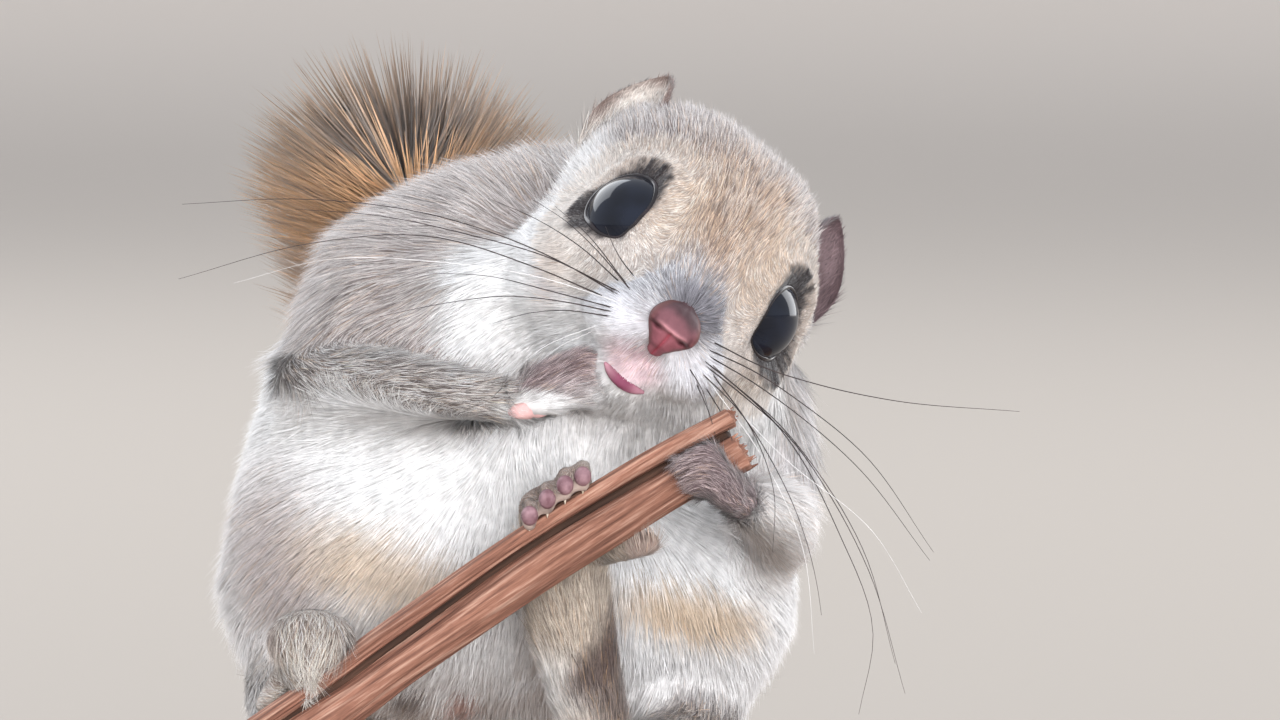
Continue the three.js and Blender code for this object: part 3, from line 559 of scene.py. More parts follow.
def mainIslands(points, tris, smallest=None):
    # keeps the largest closed surface, or all above a number of points
    edges = edgesOf(tris)
    label = np.arange(len(points))
    while True:
        low = np.minimum(label[edges[:, 0]], label[edges[:, 1]])
        new = label.copy()
        np.minimum.at(new, edges[:, 0], low)
        np.minimum.at(new, edges[:, 1], low)
        new = new[new]
        if (new == label).all():
            break
        label = new
    size = np.bincount(label, minlength=len(points))
    keep = size[label] >= (smallest or size.max())
    number = np.cumsum(keep) - 1
    return points[keep], number[tris[keep[tris[:, 0]]]]


skinSettings = {
    "voxel": 0.62, "pawVoxel": 0.32, "leastPoints": 600,
    # points that mark where each region lies, and rounds of blending between regions
    "marks": 1600, "blending": 7,
    # how far the skin lies under the coat's outline, and how much it is smoothed
    "depth": {"head": 1.1, "jaw": 0.9, "muzzle": 0.55, "neck": 2.2, "torso": 2.6, "upperArm": 1.8,
              "forearm": 1.2, "thigh": 2.2, "shin": 1.6, "membrane": 2.0, "hand": 0.2, "foot": 0.2,
              "tail": 0.6},
    "smooth": {"head": 0.3, "jaw": 0.3, "muzzle": 0.2, "neck": 1, "torso": 1, "upperArm": 0.9,
               "forearm": 0.6, "thigh": 1, "shin": 0.8, "membrane": 0.8, "hand": 0.15, "foot": 0.15,
               "tail": 0.5},
    "rounds": 26,
    # the coat is thinner round each eye, between these distances from its middle
    "eyeThin": 0.75, "eyeNear": 5, "eyeFar": 8.5,
    # the skin over the eyeball stands this proud of it at the rim, and thins out between these margins
    "cover": 0.18, "drop": 0.8, "dropFrom": 1.4, "dropTo": 2.8, "atRim": 0.42,
    # a hollow in front of the left ear
    "hollow": {"at": vec(25.6, -9.5, 66), "near": 2, "far": 6.5, "deep": 1.7},
}


def bySide(table, region):
    return table.get(region) or table[region.replace("Right", "").replace("Left", "")]


bodyParts = [p for r in regions if r not in pawRegions for p in skinSources[r]]
pawParts = [p for r in pawRegions for p in skinSources[r]]
bodySkin = mainIslands(*voxelBody(bodyParts, skinSettings["voxel"]))
pawSkin = mainIslands(*voxelBody(pawParts, skinSettings["pawVoxel"]), skinSettings["leastPoints"])
points, tris = joinParts([bodySkin, pawSkin])
print("skin remeshed:", len(points), "points")
edges = edgesOf(tris)
marks = kdtree.KDTree(skinSettings["marks"] * len(regions))
for number, region in enumerate(regions):
    p, t = joinParts(skinSources[region])
    pick, share = pickPlaces(areaOf(p, t), skinSettings["marks"])
    for spot in (p[t[pick]] * share).sum(1):
        marks.insert(spot, number)
marks.balance()
nearest = np.array([marks.find(p)[1] for p in points])
weights = spreadOut(np.eye(len(regions))[nearest], edges, skinSettings["blending"])
depth = np.array([bySide(skinSettings["depth"], r) for r in regions])
smoothing = np.array([bySide(skinSettings["smooth"], r) for r in regions])
points = spreadOut(points, edges, skinSettings["rounds"], 0.5 * weights @ smoothing)
skinNormals = unit(spreadOut(normalsOf(points, tris), edges, 3))
coatDepth = weights @ depth
for side in ("right", "left"):
    ahead, forwards, upwards = eyeView(side, toHead(points))
    nearEye = smoothStep(skinSettings["eyeFar"], skinSettings["eyeNear"], np.hypot(forwards, upwards))
    coatDepth = coatDepth * (1 - skinSettings["eyeThin"] * (nearEye * (ahead > 0)))
skinPoints = points - skinNormals * coatDepth[:, None]
skinPoints = spreadOut(skinPoints, edges, 4, 0.5 * weights @ smoothing)
for side in ("right", "left"):
    # the skin is drawn over each eyeball round its opening, and lies behind it inside
    h = toHead(skinPoints)
    margin, turn, far = roundEye(side, h)
    near = far < eye["radius"] + 4
    thinning = smoothStep(skinSettings["dropFrom"], skinSettings["dropTo"], margin)
    cover = eye["radius"] + skinSettings["cover"] - skinSettings["drop"] * thinning
    wanted = np.where(near & (margin < 0), np.minimum(far, eye["radius"] - 0.5), far)
    outside = near & (margin >= 0) & (margin < skinSettings["dropTo"])
    wanted = np.where(outside, np.maximum(far, cover), wanted)
    moved = eye[side]["centre"] + (h - eye[side]["centre"]) * (wanted / far)[:, None]
    atEdge = near & (abs(margin) < skinSettings["atRim"])
    moved[atEdge] = onRim(side, turn[atEdge], 0.5, eye["radius"] + 0.06)
    skinPoints = fromHead(moved)
hollow = skinSettings["hollow"]
dip = smoothStep(hollow["far"], hollow["near"], np.linalg.norm(skinPoints - hollow["at"], axis=1))
skinPoints = skinPoints - skinNormals * (hollow["deep"] * dip)[:, None]
skinNormals = normalsOf(skinPoints, tris)
headSkin = toHead(skinPoints)
print("skin shaped")


def foremost(points, x, z):
    # how far forward a surface comes within 0.7 mm of a place seen from the front
    near = np.hypot(points[:, 0] - x, points[:, 2] - z) < 0.7
    return points[near, 1].min()


# lie of the coat
def along(p, path):
    # direction of a path at its part nearest to each point
    line = smoothCurve(path, 24)
    heading = unit(np.gradient(line, axis=0))
    near = ((p[:, None, :] - line[None]) ** 2).sum(2).argmin(1)
    return heading[near]


def awayFrom(p, centre, pull=(0, 0, 0)):
    return unit(unit(p - np.asarray(centre)) + np.asarray(pull))


noseTip = fromHead([[0.3, -23, -2.6]])[0]
limbPaths = {
    "upperArmRight": [vec(-10, -2, 64), vec(-18.5, -7, 60), body["elbow"]["right"]],
    "forearmRight": [vec(-27, -2, 60), vec(-25, -11, 56), vec(-16, -21.8, 54.6), body["wrist"]["right"]],
    "upperArmLeft": [vec(17, -2, 54), vec(20, -5, 47), body["elbow"]["left"]],
    "thighRight": [vec(-12, 10, 34), vec(-20, 3, 30), body["knee"]["right"]],
    "thighLeft": [vec(5, 10, 34), vec(10, 3, 27), body["knee"]["left"]],
    "shinRight": [body["knee"]["right"], vec(-28.5, -15, 23), body["ankle"]["right"]],
    "shinLeft": [body["knee"]["left"], vec(10, -17, 18.6), body["ankle"]["left"]],
    "footLeft": [body["ankle"]["left"], vec(2, -29, 30), vec(-1, -31.5, 43), vec(-1.5, -37, 44),
                 vec(-2.5, -38.5, 40)],
    "handRight": [body["wrist"]["right"], vec(1, -29.3, 55.6), vec(4, -29, 56), vec(3, -25, 55)],
    "handLeft": [body["wrist"]["left"], onStem(14, 5, -0.6), onStem(10.5, 4.5, -0.4)],
    "tail": tailPath,
}


def coatLie(p, region):
    if region in limbPaths:
        return along(p, limbPaths[region])
    if region in ("head", "muzzle", "jaw"):
        return awayFrom(p, noseTip)
    if region == "footRight":
        return unit(vec(-24.2, -42.5, 22.5) - p)
    if region == "forearmLeft":
        return awayFrom(p, (11, -37, 49), (0.1, 0, -0.1))
    if region == "membraneRight":
        return awayFrom(p, (-5, -24, 51), (-0.1, 0, -0.25))
    if region == "membraneLeft":
        return awayFrom(p, (10, -30, 48), (0.1, 0, -0.35))
    if region == "torso":
        behind = smoothStep(-6, 6, p[:, 1:2])
        front = awayFrom(p, (2, -20, 60), (0, 0, -0.8))
        back = awayFrom(p, (8, -6, 74), (0, 0.2, -0.5))
        return unit(front * (1 - behind) + back * behind)
    return awayFrom(p, (13, -14, 68), (0, 0, -0.4))


def underForearm(p):
    # share of the white underside, which starts along a line under the right forearm
    line = 54.6 - 0.159 * (p[:, 0] + 28) + 0.35 * softNoise(p, 1.5, 6)
    below = smoothStep(0.5, -0.5, p[:, 2] - line)
    return below * smoothStep(-1, -4, p[:, 0]) * smoothStep(4, -3, p[:, 1])


lie = np.zeros_like(skinPoints)
for number, region in enumerate(regions):
    share = weights[:, number]
    use = share > 0.01
    way = coatLie(skinPoints[use], region)
    if region in ("forearmRight", "upperArmRight", "torso"):
        under = underForearm(skinPoints[use])[:, None]
        way = way * (1 - under) + coatLie(skinPoints[use], "membraneRight") * under
    lie[use] += way * share[use, None]
for _ in range(12):
    lie = spreadOut(lie, edges, 2)
    lie = unit(lie - skinNormals * (lie * skinNormals).sum(1)[:, None])
print("lie of the coat worked out")


# markings, the same for skin and coat
def colour(red, green, blue):
    # from the usual 0 to 255 scale to the numbers that the shaders use
    c = np.array([red, green, blue]) / 255
    return np.where(c <= 0.04045, c / 12.92, ((c + 0.055) / 1.055) ** 2.4)


coatColours = {
    # root, tip, how much the tips vary, share of dark hairs
    "head": (colour(104, 92, 88), colour(210, 203, 200), 0.32, 0.26),
    "jaw": (colour(214, 208, 208), colour(246, 245, 246), 0.06, 0),
    "muzzle": (colour(196, 190, 194), colour(238, 239, 243), 0.1, 0.05),
    "neck": (colour(128, 116, 112), colour(216, 208, 204), 0.28, 0.18),
    "torso": (colour(122, 110, 106), colour(212, 204, 200), 0.28, 0.18),
    "upperArmRight": (colour(112, 100, 96), colour(214, 205, 200), 0.3, 0.22),
    "upperArmLeft": (colour(172, 164, 162), colour(232, 227, 226), 0.16, 0.08),
    "forearmRight": (colour(78, 66, 62), colour(232, 223, 216), 0.4, 0.34),
    "forearmLeft": (colour(184, 176, 172), colour(236, 231, 228), 0.18, 0.12),
    "thigh": (colour(118, 107, 102), colour(206, 196, 188), 0.28, 0.18),
    "shinLeft": (colour(72, 62, 60), colour(182, 170, 160), 0.36, 0.4),
    "shinRight": (colour(176, 164, 156), colour(234, 228, 222), 0.16, 0.08),
    "membrane": (colour(226, 223, 222), colour(249, 248, 247), 0.05, 0.01),
    "handRight": (colour(90, 68, 70), colour(206, 184, 182), 0.42, 0.36),
    "handLeft": (colour(88, 70, 72), colour(204, 184, 182), 0.42, 0.36),
    "footRight": (colour(132, 112, 102), colour(244, 236, 224), 0.26, 0.2),
    "footLeft": (colour(142, 128, 116), colour(204, 190, 174), 0.24, 0.14),
    "tail": (colour(170, 132, 98), colour(232, 184, 132), 0.3, 0.05),
}


def patch(p, centre, radii, edge=0.35, axis=None):
    offset = p - np.asarray(centre, float)
    if axis is not None:
        first = unit(axis)
        second = unit(np.cross(first, (0, 1, 0)))
        third = np.cross(first, second)
        offset = offset @ np.stack([first, third, second], 1)
    far = np.sqrt(((offset / np.asarray(radii)) ** 2).sum(1))
    return smoothStep(1 + edge, 1 - edge, far)


def tint(base, amount, tone):
    return base * (1 - amount[:, None]) + tone * amount[:, None]


def paint(base, amount, root, tip):
    return tint(base[0], amount, root), tint(base[1], amount, tip)


white = (colour(228, 224, 221), colour(250, 248, 246))
grey = (colour(126, 125, 130), colour(222, 223, 227))
sandy = (colour(136, 102, 76), colour(222, 186, 142))
darkBrown = (colour(52, 40, 38), colour(104, 86, 80))
darkGrey = (colour(58, 55, 60), colour(122, 119, 127))
toeBrown = (colour(128, 104, 96), colour(208, 190, 178))
blackBrown = (colour(24, 19, 20), colour(54, 46, 47))
pink = (colour(184, 128, 138), colour(224, 196, 202))
olive = (colour(146, 126, 104), colour(198, 180, 154))
toePink = (colour(184, 140, 130), colour(204, 164, 152))
cream = (colour(184, 162, 138), colour(222, 199, 174))
backGrey = (colour(128, 115, 109), colour(214, 205, 198))
paleBeige = (colour(168, 152, 138), colour(230, 217, 203))
dusty = (colour(142, 128, 124), colour(196, 182, 178))

# each patch: its tones, strength, middle, half sizes, softness of its edge and long axis
bodyPatches = [
    # creamy and dusty fur on the membranes
    (dusty, 0.8, (-25.5, -10, 38), (6.5, 14, 9), 0.5, (1, 0, 0.2)),
    (cream, 0.85, (-15.5, -16, 38), (8.5, 12, 4.0), 0.5, (0.95, 0, -0.25)),
    (cream, 0.95, (13.8, -22, 33.5), (8.5, 12, 2.7), 0.45, (0.93, 0, -0.33)),
    (dusty, 0.5, (27, -8, 28), (3.5, 12, 10), 0.5, (1, 0, 0.2)),
    # brown edge of the left membrane, beside the hand
    (darkBrown, 0.35, (21, -26, 41.2), (6.5, 14, 0.3), 0.6, (0.88, 0, -0.47)),
    # both ends of the right foot
    (toeBrown, 0.7, (-29.2, -33, 31), (1.7, 6, 2.6), 0.5, None),
    (darkBrown, 0.6, (-20.3, -33, 30.2), (1.1, 6, 2.2), 0.5, None),
    # white fur beside its leg, and the olive leg below it
    (white, 0.7, (-31.5, -25, 25), (3, 10, 5), 0.4, None),
    (olive, 0.9, (-26, -28, 19.5), (6, 9, 5.5), 0.3, None),
    # white underneath
    (white, 0.95, (-6, -10, 23), (15, 22, 7.5), 0.3, None),
    # white bib under the chin
    (white, 1, (7, -20, 51), (13, 15, 6), 0.3, None),
    # outer edge of the left sole and the fur round its heel
    (darkBrown, 0.85, (6.2, -28, 32), (1.3, 7, 7), 0.4, (0.98, 0, -0.2)),
    (darkBrown, 0.85, (3.6, -28, 25.6), (1.9, 7, 3.6), 0.4, (0.8, 0, -0.6)),
    (darkBrown, 0.85, (7.5, -26, 22.8), (5, 10, 4), 0.45, None),
    (toeBrown, 0.85, (8.6, -33, 38.8), (1.8, 4, 2), 0.4, None),
    (darkBrown, 0.8, (-14.4, -18, 24), (1.8, 16, 1.4), 0.5, None),
    (toePink, 0.95, (-8.9, -14, 23.5), (1.5, 16, 1.6), 0.35, None),
    # brown toes of the left foot
    (toeBrown, 0.85, (-1.5, -35.5, 44), (5.5, 6, 5.5), 0.3, None),
    # white hair round the bare palm
    (white, 0.9, (-3.2, -30, 52.7), (4.2, 4, 1.7), 0.3, (0.98, 0, 0.1)),
]
# these are measured from the head's own middle
headPatches = [
    (white, 1, (0, -4, -12.5), (17, 20, 8.5), 0.2, None),
    (white, 1, (-14.5, -6, -6), (9, 9, 7.2), 0.16, (0.9, 0, -0.3)),
    (white, 1, (13.5, -5, -6), (6, 8, 6), 0.2, None),
    (white, 0.7, (-14.5, 0, 4), (3.4, 7, 5), 0.6, (0.6, 0, 0.8)),
    (sandy, 0.35, (0.5, -11, 7.5), (7.5, 10, 9), 0.8, None),
    (grey, 0.5, (-11, -11, -2), (8, 8, 4.5), 0.7, None),
    (grey, 0.85, (0, -17, -0.2), (9, 5, 4.0), 0.45, None),
    (grey, 0.6, (-7.5, -15, -2.6), (4.5, 6, 3.4), 0.45, None),
    (dusty, 0.6, (-11.4, -12.6, -5.7), (4, 6, 1.3), 0.5, (-0.61, 0, 0.79)),
]


faceSpots = {
    # strength, middle, half sizes and softness, also from the head's own middle
    "saddle": (0.85, (1.0, -20.3, -0.4), (3.2, 4, 2.1), 0.5),
    "lips": (0.7, (-0.6, -19, -8.3), (3.2, 4, 2.2), 0.5),
    "freckles": (0.25, (-2.6, -20, -6.2), (1.8, 4, 1.6), 0.5),
    "warm": (0.5, (0.5, -11, 7), (8, 10, 9), 0.5),
    "cool": (0.85, (-8.5, -13, -3), (6.5, 10, 4.5), 0.6),
}


def markings(p, share):
    # colours of root and tip, how much they vary, and the shares of dark and of sandy hairs
    root, tip, vary, darkShare = (sum(share[:, i:i + 1] * np.asarray(bySide(coatColours, r)[k])
                                      for i, r in enumerate(regions)) for k in range(4))
    vary, darkShare = vary[:, 0], darkShare[:, 0]
    h = toHead(p)
    part = {r: share[:, i] for i, r in enumerate(regions)}
    headShare = part["head"] + part["muzzle"] + part["jaw"]

    def spot(name, where):
        strength, centre, radii, edge = faceSpots[name]
        return strength * where * patch(h, centre, radii, edge)

    whole = (root, tip)
    furry = 1 - part["tail"]
    # the belly and throat are white below the forearms
    belly = (part["torso"] + part["neck"]) * smoothStep(2, -8, p[:, 1]) * smoothStep(53, 50, p[:, 2])
    whole = paint(whole, belly, *white)
    darkShare = darkShare * (1 - belly)
    vary = vary * (1 - 0.7 * belly)
    for tones, strength, centre, radii, edge, axis in headPatches:
        amount = strength * (headShare + part["neck"]) * patch(h, centre, radii, edge, axis)
        whole = paint(whole, amount, *tones)
        if tones is white:
            darkShare = darkShare * (1 - amount)
            vary = vary * (1 - 0.75 * amount)
    ringed = np.zeros(len(p))
    for side in ("right", "left"):
        # a pale ring round the dark one
        margin, turn, far = roundEye(side, h)
        near = far < eye["radius"] + 5
        whole = paint(whole, 0.6 * headShare * near * smoothStep(4.2, 2.2, margin), *paleBeige)
        wide = allRound(turn, eye["darkAt"], eye["dark"]) + 0.22 * softNoise(p, 0.7, 12)
        dark = headShare * near * smoothStep(wide + 0.1, wide - 0.45, margin)
        ringed = ringed + dark
        whole = paint(whole, dark, *blackBrown)
        vary = vary * (1 - dark)
    saddle = spot("saddle", headShare)
    whole = paint(whole, saddle, *darkGrey)
    whole = paint(whole, spot("lips", headShare), *pink)
    darkShare = darkShare + spot("freckles", headShare)
    # grey backs of the membranes
    behind = (part["membraneRight"] + part["membraneLeft"]) * smoothStep(-1, 7, p[:, 1] + softNoise(p, 4, 11))
    whole = paint(whole, 0.9 * behind, *backGrey)
    vary = vary + 0.2 * behind
    darkShare = darkShare + 0.15 * behind
    rightSide = part["forearmRight"] + part["upperArmRight"] + part["membraneRight"] + part["torso"]
    amount = rightSide * underForearm(p)
    whole = paint(whole, amount, *white)
    # a few dark hairs along the white edge under the forearm
    edging = patch(p, (-11.5, -24, 50.6), (8, 8, 0.8), 0.6, (0.98, 0, -0.16))
    darkShare = darkShare * (1 - amount) + 0.4 * furry * edging
    vary = vary * (1 - 0.7 * amount)
    for tones, strength, centre, radii, edge, axis in bodyPatches:
        amount = strength * furry * (1 - headShare) * patch(p, centre, radii, edge, axis)
        whole = paint(whole, amount, *tones)
    for region, (start, across, ahead, reach, gaps) in toeGapShade.items():
        # painted shade in the gaps between the toes
        offset = p - start
        apart = sum(np.exp(-((offset @ across - gap) / 0.3) ** 2) for gap in gaps)
        amount = 0.5 * part[region] * smoothStep(reach, reach + 1, offset @ ahead) * apart.clip(0, 1)
        whole = paint(whole, amount, *darkBrown)
    # sandy hairs, fewer on the rings, the saddle, the cool cheek, the belly and wherever the fur is pale
    warm = 0.1 * furry + spot("warm", part["head"])
    warm = warm * (1 - ringed - saddle - spot("cool", headShare)).clip(0, 1)
    return (*whole, vary, darkShare, warm * (1 - belly) * smoothStep(0.62, 0.4, whole[0][:, 2]))


# where shade is painted dark between the toes
toeGapShade = {
    # from a place, across and along the toes, starting some way along
    "handRight": (body["wrist"]["right"], rightHandPlan["across"], rightHandPlan["ahead"], 1,
                  [-1.7, 0, 1.65]),
    "handLeft": (leftHandPlan["knuckles"], stemUp, -stemAlong, -1.5, [-1.3, -0.1, 1.1]),
    "footLeft": (onStem(0, 0, 0), stemAlong, vec(0, 0, 1), 3, [-2.25, -0.15, 1.95]),
}


skinRoot, skinTip = markings(skinPoints, weights)[:2]
skin = addMesh("skin", skinPoints, tris, skinMaterial)
addColour(skin, "coatColour", skinRoot * 0.6 + skinTip * 0.3)
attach(skin, "root")
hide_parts("head", "neck", "torso", "lower_jaw", "muzzle_right", "muzzle_left", "upper_arm_right",
            "upper_arm_left", "forearm_right", "forearm_left", "hand_right", "hand_left", "thigh_right",
            "thigh_left", "shin_right", "shin_left", "foot_right", "foot_left", "membrane_right",
            "membrane_left", "tail_root", "tail_middle", "tail_tip")
print("skin painted")

ears = {
    # outer face, inner face and rim
    "right": {"root": vec(-12.9, 4.2, 10.2), "yaw": -58,
              "tones": ((128, 100, 90), (222, 210, 200), (94, 68, 60))},
    "left": {"root": vec(10.7, 3.2, 9.4), "yaw": 36,
             "tones": ((112, 92, 95), (124, 104, 106), (84, 66, 68))},
    "hairs": 4600, "lean": 16, "width": 8.6, "thickness": 4, "length": 14.4, "wall": 0.55,
}
palm = {"at": vec(-2.8, -29.6, 52.7), "radii": vec(2.3, 1.0, 0.95), "lean": -6,
        "tones": (colour(208, 166, 162), colour(180, 110, 112))}
toePad = {"offset": vec(0, -0.5, 0.85), "radii": vec(0.85, 0.85, 1.0), "clear": vec(0.85, 1.3, 1.1)}
# no hair grows on the palm, on the pads or at the toe ends
barePads = [{"at": palm["at"], "radii": palm["radii"] * vec(0.95, 1.5, 0.9)}]
barePads += [{"at": q["at"] + toePad["offset"], "radii": toePad["clear"]} for q in padSpots]
barePads += [{"at": q["at"] + q["direction"] * 0.5, "radii": 1.15 * q["radius"]} for q in padSpots]

mouth = {
    "corners": (-2.6, 2.0), "middle": -0.3, "halfWidth": 2.4, "height": -9.9, "dip": 0.55, "thick": 0.6,
    "drop": 0.1, "sunk": 0.25, "tones": (colour(160, 116, 126), colour(122, 64, 84)),
}

# coat: closed tapered tufts rooted in the skin
coatPlan = {
    # tufts for each square millimetre, length, lift in degrees, width
    "head": (29, 2.6, 21, 0.12), "jaw": (25, 2.4, 18, 0.12), "muzzle": (38, 1.25, 22, 0.09),
    "neck": (19, 3.9, 19, 0.14), "torso": (15.5, 5, 17, 0.155), "upperArm": (18, 4.3, 18, 0.14),
    "forearm": (26, 3.0, 19, 0.12), "thigh": (14.5, 4.7, 18, 0.155), "shin": (20, 3.9, 22, 0.14),
    "membrane": (19, 4.4, 14, 0.145), "hand": (34, 1.8, 20, 0.1), "foot": (30, 2.6, 22, 0.11),
    "footRight": (32, 3.9, 20, 0.12), "tail": (2.5, 7, 30, 0.3),
}
coatGroups = {
    # regions and slot of each piece of the coat
    "face": (["head", "muzzle", "jaw"], "back_fur"),
    "neck": (["neck"], "back_fur"),
    "back": (["torso"], "back_fur"),
    "arms": (["upperArmRight", "upperArmLeft", "forearmRight", "forearmLeft"], "limb_fur"),
    "tail": (["tail"], "tail_fur"),
    "legs": (["thighRight", "thighLeft", "shinRight", "shinLeft"], "limb_fur"),
    "rightMembrane": (["membraneRight"], "pale_fur"),
    "leftMembrane": (["membraneLeft"], "pale_fur"),
    "paws": (pawRegions, "limb_fur"),
}
shortHair = {
    "mostTriangles": 196000,
    # near an eye: more tufts, shorter and flatter ones
    "eyeMore": 1.6, "eyeShorter": 0.78, "eyeFlatter": 0.7,
    # shares of the length that go in front of the ears, round the mouth, on the front of the face, low on the
    # right foot, over the left foot's toes and on the far side of both feet
    "earShorter": {"right": 0.2, "left": 0.6}, "mouthShorter": 0.62, "faceShorter": 0.5,
    "heelShorter": 0.6, "toesShorter": 0.4, "farShorter": 0.78, "farFlatter": 0.7,
    "napeLonger": 0.55, "napeSteeper": 0.5,
    "sandyTip": 0.58 * colour(206, 166, 126),
}


def bladeMesh(rings, across, normal, width):
    # closed three sided blades through the given rings, ending in a point
    count, segments = len(rings[0]), len(rings) - 1
    points = []
    for k, centre in enumerate(rings[:-1]):
        w = width * (0.8 if k == 0 else 1.0 - 0.45 * (k - 1) / max(segments - 1, 1))
        half = across * (w / 2)[:, None]
        ridge = normal * (w * 0.3)[:, None]
        points += [centre - half, centre + half, centre + ridge]
    points.append(rings[-1])
    points = np.stack(points, 1)
    tris = [[0, 2, 1]]  # the root's own face closes the tuft
    for k in range(segments - 1):
        a, b = 3 * k, 3 * k + 3
        for i in range(3):
            j = (i + 1) % 3
            tris += [[a + i, a + j, b + j], [a + i, b + j, b + i]]
    a, tip = 3 * (segments - 1), 3 * segments
    tris += [[a, a + 1, tip], [a + 1, a + 2, tip], [a + 2, a, tip]]
    each = points.shape[1]
    whole = (np.arange(count) * each)[:, None, None] + np.array(tris)[None]
    ringShare = np.append(np.repeat(np.linspace(0, 1, segments + 1)[:-1], 3), 1.0)
    return points.reshape(-1, 3), whole.reshape(-1, 3), ringShare, each


def lyingTufts(root, normal, lieWay, length, lift, width, sway, segments):
    # each tuft leaves the skin at its lift and bends down along the lie
    lieWay = unit(lieWay + unit(np.cross(normal, lieWay)) * sway[:, None])
    rings = []
    for s in np.linspace(0, 1, segments + 1):
        rise = np.sin(lift) * s * (1.25 - 0.55 * s)
        run = s * (0.86 + 0.14 * s) * np.cos(lift * (1 - 0.35 * s))
        rings.append(root + (normal * rise[:, None] + lieWay * run[:, None]) * length[:, None])
    return bladeMesh(rings, unit(np.cross(normal, lieWay)), normal, width)


def archedTufts(root, bend, tip, width, segments):
    # each tuft follows an arch from its root past a bend to its tip
    rings = [root * (1 - s) ** 2 + bend * 2 * s * (1 - s) + tip * s * s
             for s in np.linspace(0, 1, segments + 1)]
    way = unit(tip - root)
    normal = unit(bend - (root + tip) / 2 + 0.15 * draw.standard_normal(root.shape))
    return bladeMesh(rings, unit(np.cross(normal, way)), normal, width)


bakePatch = 0.003  # size of one tuft's own patch in the map


def boxUnwrap(root, normal):
    # the skin laid out in six views of its own six sides, each in its own cell
    axis = np.abs(normal).argmax(1)
    side = axis * 2 + (normal[np.arange(len(normal)), axis] > 0)
    uv = np.zeros((len(root), 2))
    for k in range(6):
        use = side == k
        if not use.any():
            continue
        flat = np.delete(root[use], k // 2, axis=1)
        low, high = flat.min(0), flat.max(0)
        flat = (flat - low) / np.maximum(high - low, 1e-6)
        uv[use] = (flat * 0.92 + 0.04 + np.array([k % 3, k // 3])) / np.array([3, 2])
    low, high = uv.min(0), uv.max(0)
    return 0.01 + 0.98 * (uv - low) / np.maximum(high - low, 1e-6)


def addCoat(name, blades, segments, root, normal, rootColour, tipColour):
    pts, whole, share, each = blades
    piece = addMesh(name, pts, whole, furMaterial)
    shade = (0.1 + 0.9 * share ** 0.8)[None, :, None]
    colours = rootColour[:, None] * (1 - shade) + tipColour[:, None] * shade
    addColour(piece, "coatColour", colours.reshape(-1, 3))
    soft = unit(normal + 0.22 * draw.standard_normal((len(root), 3)))
    addNormals(piece, np.repeat(soft, each, axis=0))
    # a small patch for each tuft: across the tuft one way, root to tip the other
    home = boxUnwrap(root, normal)
    spread = np.zeros((each, 2))
    spread[:, 1] = share - 0.5
    spread[:-1, 0] = np.tile([-0.5, 0.5, 0.08], segments)
    uv = home[:, None, :] + spread[None] * bakePatch
    uv[:, :, 1] += np.where(np.arange(each) % 3 == 2, 0.0004, 0)[None]
    addUv(piece, "OFBake", uv.reshape(-1, 2)[whole.ravel()])
    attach(piece, "root")
    return len(whole)


